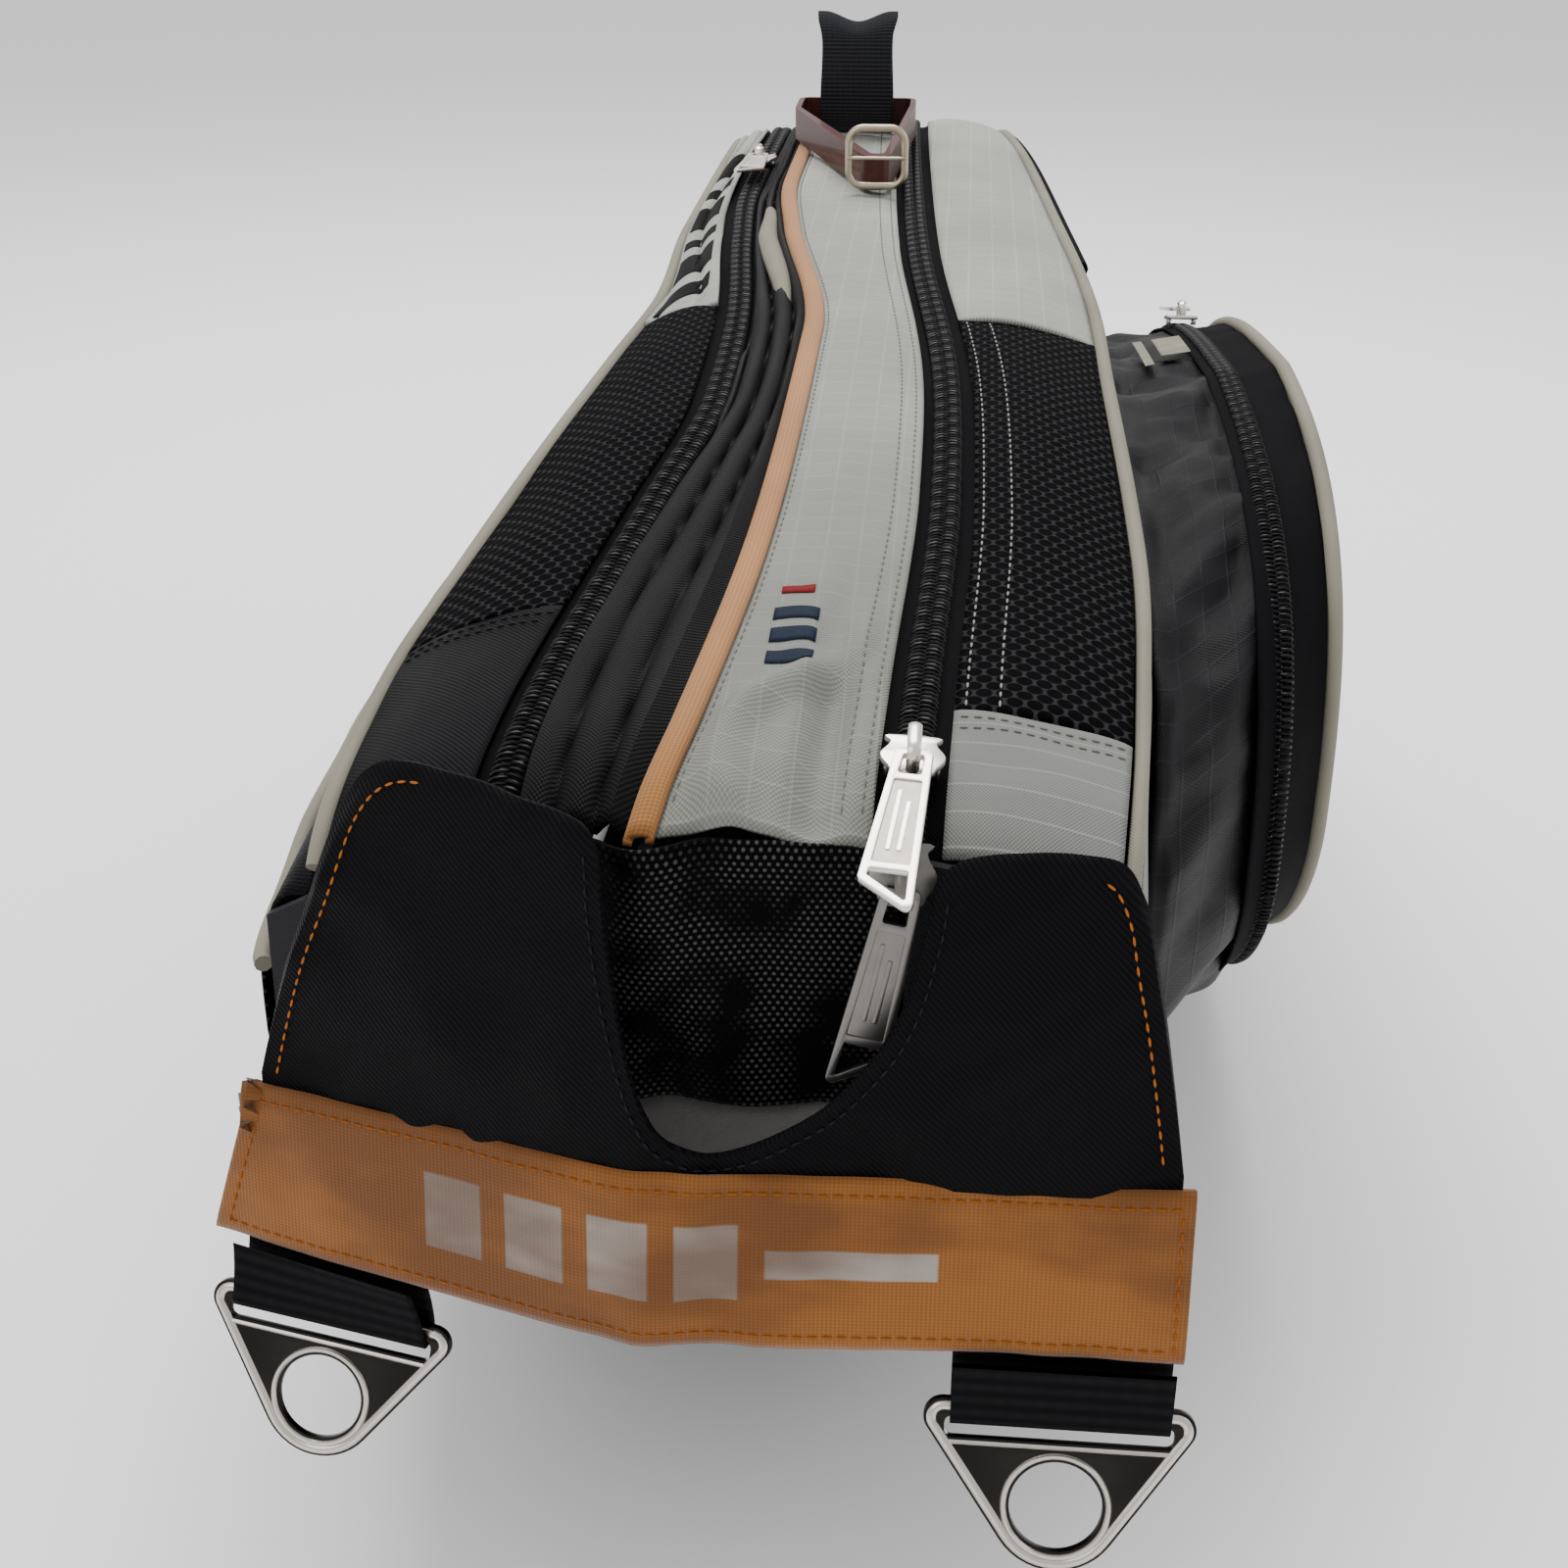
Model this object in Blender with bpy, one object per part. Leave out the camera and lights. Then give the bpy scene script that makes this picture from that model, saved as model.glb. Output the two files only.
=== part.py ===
"""Racket tournament bag, standing on its base, with its narrow end towards -Y.

Two racket compartments sit side by side, each under its own long zip. The centre strip between the
zips carries the piping, the haul handle and the divider. Both outer shells swing away from the
centre about the edges of the base. A strap yoke with two triangle rings hangs over the narrow end.
The origin is on the floor at the middle of the flat base. Metres, +Z up, +X to the right of
somebody who looks at the bag from its narrow end.
"""

from math import atan, atan2, cos, pi, radians, sin, tan

import bmesh
import bpy
from mathutils import Matrix, Vector

# ---- driving dimensions --------------------------------------------------------------------------
NEAR_Y = -0.362            # where the long panels start, at the narrow end
FAR_Y = 0.362              # where they stop, at the wide end
STATIONS = 19              # evenly spaced cross-sections along the bag
END_STATION = 0.345        # one more near each end, where the top falls away
SHEET = 0.0025             # fabric with its foam lining
GAP = 0.0003               # clearance between pieces that touch
SEAM = 0.0008              # clearance along a seam between two panels
TAPE = 0.0012              # zip tape thickness
TAPE_SINK = 0.0032         # how far a zip tape lies under the panels beside it
COIL_HALF = 0.0038         # half the width of a closed coil
PIPE_R = 0.0026            # cream piping radius
BASE_SHEET = 0.0020        # base fabric thickness
DIVIDER = 0.0030           # padded wall between the compartments
BOARD = 0.0030             # stiffener board thickness
BOARD_ENDS = (-0.036, 0.236)   # the stiffener board lies on the flat of the base
BASE_LEFT, BASE_RIGHT = -0.1080, 0.0880
SWEEP = 0.33               # how fast the narrow end falls back on its left
SWEEP_FROM_X, SWEEP_END_Y = -0.020, -0.150
TRIM_TOP_Z = 0.172         # seam between the end mesh and the pale strip below it

# Profiles along the bag: (y, value)
TOP = ((-0.370, 0.232), (-0.352, 0.2450), (-0.330, 0.2515), (-0.250, 0.262), (-0.100, 0.280),
       (0.050, 0.292), (0.200, 0.300), (0.300, 0.303), (0.340, 0.290), (0.370, 0.262))
UNDER = ((-0.370, 0.112), (-0.250, 0.056), (-0.140, 0.012), (-0.060, 0.0), (0.280, 0.0),
         (0.330, 0.014), (0.370, 0.060))
PIPING_X = ((-0.370, -0.016), (-0.330, -0.008), (-0.226, 0.000), (-0.078, 0.002),
            (0.056, -0.016), (0.150, -0.024), (0.370, -0.024))
ZIP_R_X = ((-0.370, 0.043), (-0.300, 0.0455), (-0.200, 0.0490), (-0.100, 0.0470),
           (0.031, 0.035), (0.200, 0.027), (0.370, 0.022))
EDGE_R_X = ((-0.370, 0.092), (-0.307, 0.098), (-0.213, 0.103), (-0.083, 0.101),
            (0.000, 0.100), (0.100, 0.092), (0.300, 0.072), (0.370, 0.050))
ZIP_L_X = ((-0.370, -0.050), (-0.300, -0.045), (-0.206, -0.033), (-0.130, -0.024),
           (-0.050, -0.026), (0.056, -0.036), (0.150, -0.042), (0.370, -0.042))
EDGE_L_X = ((-0.370, -0.098), (-0.270, -0.097), (-0.220, -0.090), (-0.150, -0.080),
            (-0.070, -0.068), (0.000, -0.060), (0.100, -0.064), (0.300, -0.064), (0.370, -0.060))
# Side walls, from the shoulder down: each rail is ((y, x, z), ...)
WALL_R = (((-0.370, 0.097, 0.190), (-0.200, 0.110, 0.200), (0.000, 0.112, 0.205),
           (0.200, 0.112, 0.210), (0.370, 0.080, 0.200)),
          ((-0.370, 0.094, 0.150), (-0.200, 0.110, 0.120), (0.000, 0.113, 0.110),
           (0.200, 0.113, 0.110), (0.370, 0.085, 0.130)),
          ((-0.370, 0.091, 0.126), (-0.200, 0.102, 0.058), (0.000, 0.105, 0.035),
           (0.200, 0.105, 0.035), (0.370, 0.080, 0.080)))
WALL_L = (((-0.370, -0.112, 0.196), (-0.250, -0.108, 0.210), (0.000, -0.104, 0.208),
           (0.100, -0.098, 0.208), (0.250, -0.096, 0.210), (0.370, -0.078, 0.200)),
          ((-0.370, -0.112, 0.160), (-0.250, -0.124, 0.162), (0.000, -0.133, 0.160),
           (0.250, -0.128, 0.160), (0.370, -0.088, 0.155)),
          ((-0.370, -0.108, 0.130), (-0.250, -0.122, 0.090), (0.000, -0.133, 0.070),
           (0.250, -0.128, 0.070), (0.370, -0.088, 0.100)))
LEFT_DROP, RIGHT_DROP = 0.026, 0.012     # fall of the top from its ridge to each shoulder

HINGE_R = Vector((0.0905, 0.0, 0.002))   # where the right shell folds at the base
HINGE_L = Vector((-0.1105, 0.0, 0.002))
LID_HINGE = Vector((0.1512, 0.0, 0.046)) # where the side pocket's front folds down
YOKE_HINGE = Vector((0.0, -0.372, 0.2485))

POCKET_Y, POCKET_Z = 0.0, 0.146          # centre and half sizes of the side pocket at the wall
POCKET_A, POCKET_B = 0.285, 0.104
FACE_Y, FACE_Z = 0.020, 0.156            # and at its front
FACE_A, FACE_B = 0.218, 0.104
POCKET_POWER = 2.8
POCKET_TUCK_POWER, POCKET_TUCK = 1.7, 0.022          # its lower near corner is cut away
POCKET_DROOP, POCKET_DROOP_Y = 0.09, -0.02           # its top slopes down toward the far end
POCKET_SIDES = 36
POCKET_WALL_X, GUSSET_X, TEETH_X, RIM_X, FACE_X = 0.1140, 0.1465, 0.1508, 0.1660, 0.1710

YOKE_LEAN = 0.18                         # outward lean of the yoke, run over drop
YOKE_TOP_Y, YOKE_TOP_Z = -0.3795, 0.245
YOKE_SHEET, BAND_SHEET = 0.0024, 0.0036
RING_T, RING_HOLE_R, RING_RIM = 0.0030, 0.0108, 0.0040
RING_TAPER = radians(34.0)               # each side of the triangle from its middle line
SLOT_W, SLOT_H = 0.0520, 0.0054
BAR = 0.0036
WEB_W, WEB_T = 0.0490, 0.0013
WEB_BEND = 0.0026                        # inside radius of the webbing round the ring's bar
RING_R_X, RING_L_X, TAB_DROP = 0.0826, -0.0915, 0.0170
LEFT_TURN = radians(-18.3)               # the left tab leaves the band along the swept corner
LEFT_RING_TURN, LEFT_RING_ROLL = radians(-7.0), radians(6.0)
RING_LEAN = radians(20.0)                # the rings hang with their tips a little outward

PULL_LEN, PULL_T = 0.0490, 0.0014
RIGHT_SLIDER_Y, LEFT_SLIDER_Y, POCKET_SLIDER_Y = -0.3400, 0.200, 0.140
HANDLE_W, HANDLE_H, HANDLE_DEPTH = 0.0370, 0.0560, 0.0300
HANDLE_T, HANDLE_SEAM = 0.0030, 0.0055   # band thickness, and height of the seam at its foot
HANDLE_AT = (-0.0010, 0.2450)
TAG_W, TAG_NEAR_Y, TAG_BUCKLE = 0.0140, 0.1150, 0.0265

BAG = bpy.data.collections.new("racket_tournament_bag")
CUTTERS = bpy.data.collections.new("cutters")


# ---- scene and materials -------------------------------------------------------------------------
def clear_scene():
    for item in list(bpy.data.objects):
        bpy.data.objects.remove(item)
    for group in (BAG, CUTTERS):
        bpy.context.scene.collection.children.link(group)


def material(name, colour, roughness, metallic=0.0):
    made = bpy.data.materials.new(name)
    made.use_nodes = True
    shader = made.node_tree.nodes["Principled BSDF"]
    shader.inputs["Base Color"].default_value = (*colour, 1.0)
    shader.inputs["Roughness"].default_value = roughness
    shader.inputs["Metallic"].default_value = metallic
    return made


def finishes():
    return {
        "white": material("white_ripstop", (0.62, 0.63, 0.58), 0.85),
        "cream": material("cream_vinyl", (0.66, 0.62, 0.50), 0.55),
        "orange": material("orange_webbing", (0.80, 0.36, 0.11), 0.80),
        "black": material("black_twill", (0.012, 0.012, 0.015), 0.80),
        "grey": material("charcoal_twill", (0.035, 0.035, 0.042), 0.70),
        "mesh": material("black_mesh", (0.008, 0.008, 0.010), 0.75),
        "tape": material("zip_tape", (0.014, 0.014, 0.018), 0.85),
        "coil": material("zip_coil", (0.010, 0.010, 0.012), 0.35),
        "nickel": material("nickel", (0.62, 0.60, 0.57), 0.28, 1.0),
        "leather": material("maroon_leather", (0.085, 0.018, 0.016), 0.50),
        "brass": material("pale_brass", (0.62, 0.54, 0.42), 0.30, 1.0),
        "board": material("stiffener_board", (0.30, 0.26, 0.20), 0.90),
    }


# ---- curves and sections -------------------------------------------------------------------------
def along(points, y):
    """Smooth value at y of a profile given as (y, value) pairs."""
    if y <= points[0][0]:
        return points[0][1]
    if y >= points[-1][0]:
        return points[-1][1]
    at = max(i for i in range(len(points) - 1) if points[i][0] <= y)

    def slope(i):
        before, after = points[max(i - 1, 0)], points[min(i + 1, len(points) - 1)]
        left = (points[i][1] - before[1]) * (after[1] - points[i][1])
        if 0 < i < len(points) - 1 and left <= 0.0:
            return 0.0
        return (after[1] - before[1]) / (after[0] - before[0])

    (y0, v0), (y1, v1) = points[at], points[at + 1]
    step = y1 - y0
    t = (y - y0) / step
    return (v0 * (1 + 2 * t) * (1 - t) ** 2 + v1 * t * t * (3 - 2 * t)
            + step * (slope(at) * t * (1 - t) ** 2 + slope(at + 1) * t * t * (t - 1)))


def rail(points, y):
    """x and z at y of a rail given as (y, x, z) triples."""
    return (along([(p[0], p[1]) for p in points], y), along([(p[0], p[2]) for p in points], y))


def skin(x, y):
    """Height of the bag's top at x."""
    across = x / (0.10 if x > 0 else -0.095)
    drop = (RIGHT_DROP if x > 0 else LEFT_DROP) * across ** 2
    return along(TOP, y) - drop


def swept(x, y, z):
    """The narrow end falls back on its left side, and the fall fades along the bag."""
    fade = min(max((SWEEP_END_Y - y) / (SWEEP_END_Y - NEAR_Y), 0.0), 1.0)
    return Vector((x, y + SWEEP * max(SWEEP_FROM_X - x, 0.0) * fade, z))


def stations(start=NEAR_Y, stop=FAR_Y):
    """The bag's own cross-section places between start and stop, with both ends."""
    grid = [NEAR_Y + (FAR_Y - NEAR_Y) * i / (STATIONS - 1) for i in range(STATIONS)]
    grid = sorted(grid + [-END_STATION, END_STATION])
    return [start] + [y for y in grid if start + 0.004 < y < stop - 0.004] + [stop]


def inset(outline, distance):
    """Points of an open outline of (x, z) moved to its right-hand side by distance."""
    moved = []
    for i, (x, z) in enumerate(outline):
        before, after = outline[max(i - 1, 0)], outline[min(i + 1, len(outline) - 1)]
        turn = [Vector((x - before[0], z - before[1])), Vector((after[0] - x, after[1] - z))]
        sides = [t.normalized() for t in turn if t.length > 1e-9]
        middle = sum(sides, Vector((0.0, 0.0))).normalized()
        stretch = 1.0 / max(middle.dot(sides[0]), 0.5)
        moved.append((x + middle.y * distance * stretch, z - middle.x * distance * stretch))
    return moved


# ---- mesh helpers --------------------------------------------------------------------------------
def from_bmesh(name, work, finish):
    bmesh.ops.recalc_face_normals(work, faces=work.faces)
    if work.calc_volume(signed=True) < 0.0:
        bmesh.ops.reverse_faces(work, faces=work.faces)
    mesh = bpy.data.meshes.new(name)
    work.to_mesh(mesh)
    work.free()
    mesh.materials.append(finish)
    part = bpy.data.objects.new(name, mesh)
    BAG.objects.link(part)
    return part


def loft(name, rings, finish, loop=False):
    """A closed body through rings of points: capped at both ends, or joined end to end."""
    work = bmesh.new()
    rows = [[work.verts.new(p) for p in ring] for ring in rings]
    size = len(rows[0])
    for a, b in zip(rows, rows[1:] + (rows[:1] if loop else [])):
        for i in range(size):
            j = (i + 1) % size
            work.faces.new((a[i], a[j], b[j], b[i]))
    if not loop:
        work.faces.new(list(reversed(rows[0])))
        work.faces.new(rows[-1])
    return from_bmesh(name, work, finish)


def strip(name, left, right, finish, thick=SHEET, sink=0.0, start=NEAR_Y, stop=FAR_Y, columns=3,
          height=skin):
    """A panel on the bag's top, between two x profiles, with its outer face sink below the top."""
    rings = []
    for y in stations(start, stop):
        x0, x1 = left(y) + SEAM / 2, right(y) - SEAM / 2
        xs = [x0 + (x1 - x0) * i / (columns - 1) for i in range(columns)]
        outer = [swept(x, y, height(x, y) - sink) for x in xs]
        inner = [swept(x, y, height(x, y) - sink - thick) for x in reversed(xs)]
        rings.append(outer + inner)
    return loft(name, rings, finish)


def plate(name, outlines, half, finish, place=Matrix()):
    """A flat plate from closed 2D outlines, the first its edge and the rest its holes."""
    flat = bpy.data.curves.new(name, "CURVE")
    flat.dimensions = "2D"
    flat.fill_mode = "BOTH"
    flat.extrude = half
    for outline in outlines:
        spline = flat.splines.new("POLY")
        spline.points.add(len(outline) - 1)
        for point, (x, y) in zip(spline.points, outline):
            point.co = (x, y, 0.0, 1.0)
        spline.use_cyclic_u = True
    guide = bpy.data.objects.new(name + "_outline", flat)
    bpy.context.scene.collection.objects.link(guide)
    ready = guide.evaluated_get(bpy.context.evaluated_depsgraph_get())
    mesh = bpy.data.meshes.new_from_object(ready)
    work = bmesh.new()
    work.from_mesh(mesh)
    bmesh.ops.remove_doubles(work, verts=work.verts, dist=1e-6)
    work.transform(place)
    bpy.data.objects.remove(guide)
    bpy.data.meshes.remove(mesh)
    return from_bmesh(name, work, finish)


def tube(name, route, radius, finish, sides=6):
    """A round rope along a route of points, with capped ends."""
    rings = []
    for i, here in enumerate(route):
        ahead = (route[min(i + 1, len(route) - 1)] - route[max(i - 1, 0)]).normalized()
        side = ahead.cross(Vector((0.0, 0.0, 1.0))).normalized()
        over = side.cross(ahead).normalized()
        rings.append([here + side * cos(2 * pi * k / sides) * radius
                      + over * sin(2 * pi * k / sides) * radius for k in range(sides)])
    return loft(name, rings, finish)


def arc(centre, radius, start, stop, count):
    """Points of an arc in degrees, both ends included."""
    return [(centre[0] + radius * cos(radians(start + (stop - start) * i / count)),
             centre[1] + radius * sin(radians(start + (stop - start) * i / count)))
            for i in range(count + 1)]


def rounded(corners, radii, count=3):
    """A closed convex outline with its corners rounded, each to its own radius."""
    outline = []
    for i, (corner, radius) in enumerate(zip(corners, radii)):
        here = Vector(corner)
        back = (Vector(corners[i - 1]) - here).normalized()
        on = (Vector(corners[(i + 1) % len(corners)]) - here).normalized()
        half = back.angle(on) / 2
        centre = here + (back + on).normalized() * radius / sin(half)
        first = here + back * radius / tan(half) - centre
        last = here + on * radius / tan(half) - centre
        start, stop = atan2(first.y, first.x), atan2(last.y, last.x)
        turn = (stop - start + pi) % (2 * pi) - pi
        outline += [(centre.x + radius * cos(start + turn * k / count),
                     centre.y + radius * sin(start + turn * k / count)) for k in range(count + 1)]
    return outline


# ---- seams ---------------------------------------------------------------------------------------
def piping_left(y):
    return along(PIPING_X, y) - 0.0032


def piping_right(y):
    return along(PIPING_X, y) + 0.0032


def zip_r(y):
    return along(ZIP_R_X, y)


def zip_l(y):
    return along(ZIP_L_X, y)


def edge_r(y):
    return along(EDGE_R_X, y)


def edge_l(y):
    return along(EDGE_L_X, y)


def beside(seam, offset):
    return lambda y: seam(y) + offset


def right_outline(y):
    """Outer face of the right side wall, from the shoulder piping down to the base."""
    x = edge_r(y)
    under = along(UNDER, y)
    points = [(x + 0.0022, skin(x, y) - 2 * PIPE_R - 0.0012)] + [rail(r, y) for r in WALL_R]
    return points + [(0.0935 if y > -0.30 else 0.0925, under + 0.0045)]


def left_outline(y):
    x = edge_l(y)
    under = along(UNDER, y)
    points = [(x - 0.0022, skin(x, y) - 2 * PIPE_R - 0.0012)] + [rail(r, y) for r in WALL_L]
    return points + [(-0.1135, under + 0.0045)]


def wall_x(outline, z):
    """x of a wall outline at height z."""
    for (xa, za), (xb, zb) in zip(outline, outline[1:]):
        if zb <= z <= za:
            return xa + (xb - xa) * (za - z) / (za - zb)
    return outline[0][0] if z > outline[0][1] else outline[-1][0]


# ---- centre: base, divider, top strip, ends ------------------------------------------------------
def build_base(look):
    def floor(lift):
        return lambda x, y: along(UNDER, y) + lift

    strip("base_fabric", lambda y: BASE_LEFT, lambda y: BASE_RIGHT, look["black"],
          thick=BASE_SHEET, height=floor(BASE_SHEET), columns=10)
    start, stop = BOARD_ENDS
    half = (BASE_RIGHT - BASE_LEFT) / 2 - 0.006
    middle = (BASE_RIGHT + BASE_LEFT) / 2
    corners = [(-half, start), (half, start), (half, stop), (-half, stop)]
    lift = BASE_SHEET + GAP + BOARD / 2
    plate("base_board", [rounded(corners, (0.012,) * 4)], BOARD / 2, look["board"],
          Matrix.Translation((middle, 0.0, lift)))


def build_divider(look):
    rings = []
    for y in stations(NEAR_Y + 0.002, FAR_Y - 0.002):
        x = along(PIPING_X, y)
        low = along(UNDER, y) + BASE_SHEET + BOARD + 0.001
        high = skin(x, y) - SHEET - 0.0035
        half = DIVIDER / 2
        rings.append([swept(*p) for p in ((x - half, y, low), (x - half, y, high),
                                          (x + half, y, high), (x + half, y, low))])
    loft("centre_divider", rings, look["grey"])


def build_top_centre(look):
    strip("centre_top_panel", piping_right, beside(zip_r, -0.0078), look["white"], columns=4)
    strip("orange_piping", piping_left, piping_right, look["orange"], thick=SHEET + 0.0012,
          sink=-0.0012)
    strip("left_fold_panel", beside(zip_l, 0.0078), piping_left, look["grey"])


def build_zip(side, seam, look):
    """Two tapes with half a coil each; the inner pair stays with the centre strip."""
    sign = 1 if side == "right" else -1
    width = 0.0082
    gap = 0.0002
    for part, way in (("inner", -sign), ("outer", sign)):
        offsets = sorted((way * gap, way * width))
        strip(f"{side}_tape_{part}", beside(seam, offsets[0] - SEAM / 2),
              beside(seam, offsets[1] + SEAM / 2 - 0.0004), look["tape"], thick=TAPE,
              sink=TAPE_SINK, columns=2)
        offsets = sorted((way * gap, way * COIL_HALF))
        strip(f"{side}_teeth_{part}", beside(seam, offsets[0] - SEAM / 2),
              beside(seam, offsets[1] + SEAM / 2), look["coil"],
              thick=TAPE_SINK - GAP, sink=0.0, columns=2)


def end_panel(name, outline, y_outer, finish):
    """A flat panel that closes one side of an end; outline is (x, z), y_outer its outward face."""
    inward = Vector((0.0, SHEET if y_outer < 0 else -SHEET, 0.0))
    front = [swept(x, y_outer, z) for x, z in outline]
    loft(name, [front, [p + inward for p in front]], finish)


def end_strip(name, xs, low, high, y_outer, finish):
    """A panel across the middle of an end, with a fold at each x; low and high give its edges."""
    inward = Vector((0.0, SHEET if y_outer < 0 else -SHEET, 0.0))
    rings = []
    for x in xs:
        front = [swept(x, y_outer, low(x)), swept(x, y_outer, high(x))]
        rings.append(front + [p + inward for p in reversed(front)])
    loft(name, rings, finish)


def build_ends(look):
    for place, y, y_at in (("near", NEAR_Y - GAP - SHEET, NEAR_Y),
                           ("far", FAR_Y + GAP + SHEET, FAR_Y)):
        under = along(UNDER, y_at) + 0.0008
        left, right = zip_l(y_at), zip_r(y_at)
        xs = (left + 0.0008, SWEEP_FROM_X, right - 0.0008)

        def top(x):
            return skin(x, y_at) - 0.0006

        if place == "near":
            end_strip("near_end_panel", xs, lambda x: TRIM_TOP_Z, top, y, look["mesh"])
            end_strip("near_end_trim", xs, lambda x: under, lambda x: TRIM_TOP_Z - SEAM, y,
                      look["white"])
        else:
            end_strip("far_end_panel", xs, lambda x: under, top, y, look["white"])
        for side, seam, edge, wall, sign in (("right", right, edge_r(y_at), right_outline, 1),
                                             ("left", left, edge_l(y_at), left_outline, -1)):
            corner = edge - 0.002 * sign
            inner = seam + 0.0008 * sign
            outline = [(inner, under)] + list(reversed(wall(y_at)))
            outline += [(corner, top(corner)), (inner, top(inner))]
            end_panel(f"{side}_{place}_end", outline, y, look["black"])


# ---- shells --------------------------------------------------------------------------------------
def side_wall(name, outline_at, sign, finish):
    rings = []
    for y in stations():
        outer = outline_at(y)
        inner = inset(outer, SHEET * sign)
        rings.append([swept(x, y, z) for x, z in outer + list(reversed(inner))])
    loft(name, rings, finish)


def build_right_shell(look):
    inner = beside(zip_r, 0.0082)
    outer = beside(edge_r, -PIPE_R - 0.0002)
    strip("right_patch", inner, outer, look["white"], stop=-0.3190)
    strip("right_mesh_gusset", inner, outer, look["mesh"], start=-0.3182, stop=-0.0500, columns=4)
    strip("right_shoulder_panel", inner, outer, look["white"], start=-0.0492, columns=4)
    route = [swept(edge_r(y), y, skin(edge_r(y), y) - PIPE_R - 0.0004)
             for y in stations(NEAR_Y + 0.002, FAR_Y - 0.002)]
    tube("right_cream_piping", route, PIPE_R, look["cream"])
    side_wall("right_side_wall", right_outline, 1, look["white"])


def build_left_shell(look):
    inner = beside(edge_l, PIPE_R + 0.0002)
    outer = beside(zip_l, -0.0082)
    strip("left_patch", inner, outer, look["black"], stop=-0.2700)
    strip("left_mesh_gusset", inner, outer, look["mesh"], start=-0.2692, stop=-0.0400, columns=4)
    strip("left_shoulder_panel", inner, outer, look["white"], start=-0.0392)
    route = [swept(edge_l(y), y, skin(edge_l(y), y) - PIPE_R - 0.0004)
             for y in stations(NEAR_Y + 0.002, FAR_Y - 0.002)]
    tube("left_cream_piping", route, PIPE_R, look["cream"])
    side_wall("left_side_wall", left_outline, -1, look["black"])


def pocket_outline(part):
    """Points of the side pocket's outline: part 0 is at the wall and 1 is at its front."""
    centre = (POCKET_Y + (FACE_Y - POCKET_Y) * part, POCKET_Z + (FACE_Z - POCKET_Z) * part)
    half = (POCKET_A + (FACE_A - POCKET_A) * part, POCKET_B + (FACE_B - POCKET_B) * part)
    points = []
    for k in range(POCKET_SIDES):
        turn = 2 * pi * k / POCKET_SIDES
        c, s = cos(turn), sin(turn)
        power = POCKET_TUCK_POWER if c < 0 and s < 0 else POCKET_POWER
        y = centre[0] + half[0] * abs(c) ** (2 / power) * (1 if c > 0 else -1)
        z = centre[1] + half[1] * abs(s) ** (2 / power) * (1 if s > 0 else -1)
        y += POCKET_TUCK * min(c, 0.0) ** 2
        z -= POCKET_DROOP * max(y - POCKET_DROOP_Y, 0.0) * max(s, 0.0)
        points.append((y, z))
    return centre, points


def pocket_band(name, x_from, x_to, finish, thick=SHEET, proud=0.0):
    """A closed band round the side pocket between two distances from the bag's middle."""
    rings = []
    ends = []
    for x in (x_from, x_to):
        part = 0.0 if x is None else (x - POCKET_WALL_X) / (FACE_X - POCKET_WALL_X)
        ends.append(pocket_outline(part))
    for k in range(POCKET_SIDES):
        ring = []
        for (centre, points), x in zip(ends, (x_from, x_to)):
            y, z = points[k]
            place = wall_x(right_outline(y), z) + 0.0024 if x is None else x
            away = Vector((y - centre[0], z - centre[1]))
            shrink = away.normalized() * thick
            grow = away.normalized() * proud
            ring.append((Vector((place, y + grow.x, z + grow.y)),
                         Vector((place, y - shrink.x, z - shrink.y))))
        (outer0, inner0), (outer1, inner1) = ring
        rings.append([outer0, outer1, inner1, inner0])
    loft(name, rings, finish, loop=True)


def build_right_pocket(look):
    pocket_band("right_pocket_gusset", None, GUSSET_X, look["black"])
    pocket_band("right_pocket_teeth", GUSSET_X + GAP, TEETH_X, look["coil"], proud=0.0012)
    pocket_band("right_pocket_rim", TEETH_X + 0.0006, RIM_X, look["tape"])
    pocket_band("right_pocket_piping", RIM_X + GAP, FACE_X, look["cream"], thick=0.0028,
                proud=0.0018)
    centre, points = pocket_outline((RIM_X + 0.003 - POCKET_WALL_X) / (FACE_X - POCKET_WALL_X))
    rings = []
    for x, size in ((RIM_X + 0.0010, 0.958), (FACE_X - 0.0008, 0.958), (FACE_X + 0.0010, 0.80)):
        rings.append([Vector((x, centre[0] + (y - centre[0]) * size,
                              centre[1] + (z - centre[1]) * size)) for y, z in points])
    loft("right_pocket_face", rings, look["white"])


def build_left_pocket(look):
    """An open-topped mesh pocket that stands a little off the left wall."""
    start, stop = NEAR_Y, 0.1609
    rows = 8
    rings = []
    edge = []
    for y in stations(start, stop):
        wall = left_outline(y)
        fade = sin(pi * min(max((y - start) / (stop - start), 0.0), 1.0)) ** 0.5
        low, high = wall[-1][1] + 0.022, 0.178
        outer = []
        for k in range(rows + 1):
            z = low + (high - low) * k / rows
            stand = 0.0044 + 0.0095 * fade * (k / rows) ** 0.6
            outer.append((wall_x(wall, z) - stand, z))
        inner = inset(outer, 0.0016)
        rings.append([swept(x, y, z) for x, z in outer + list(reversed(inner))])
        edge.append(swept(outer[-1][0] + 0.0008, y, outer[-1][1] + PIPE_R + 0.0004))
    loft("left_mesh_pocket", rings, look["mesh"])
    tube("left_pocket_piping", edge, PIPE_R * 0.9, look["cream"])


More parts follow.
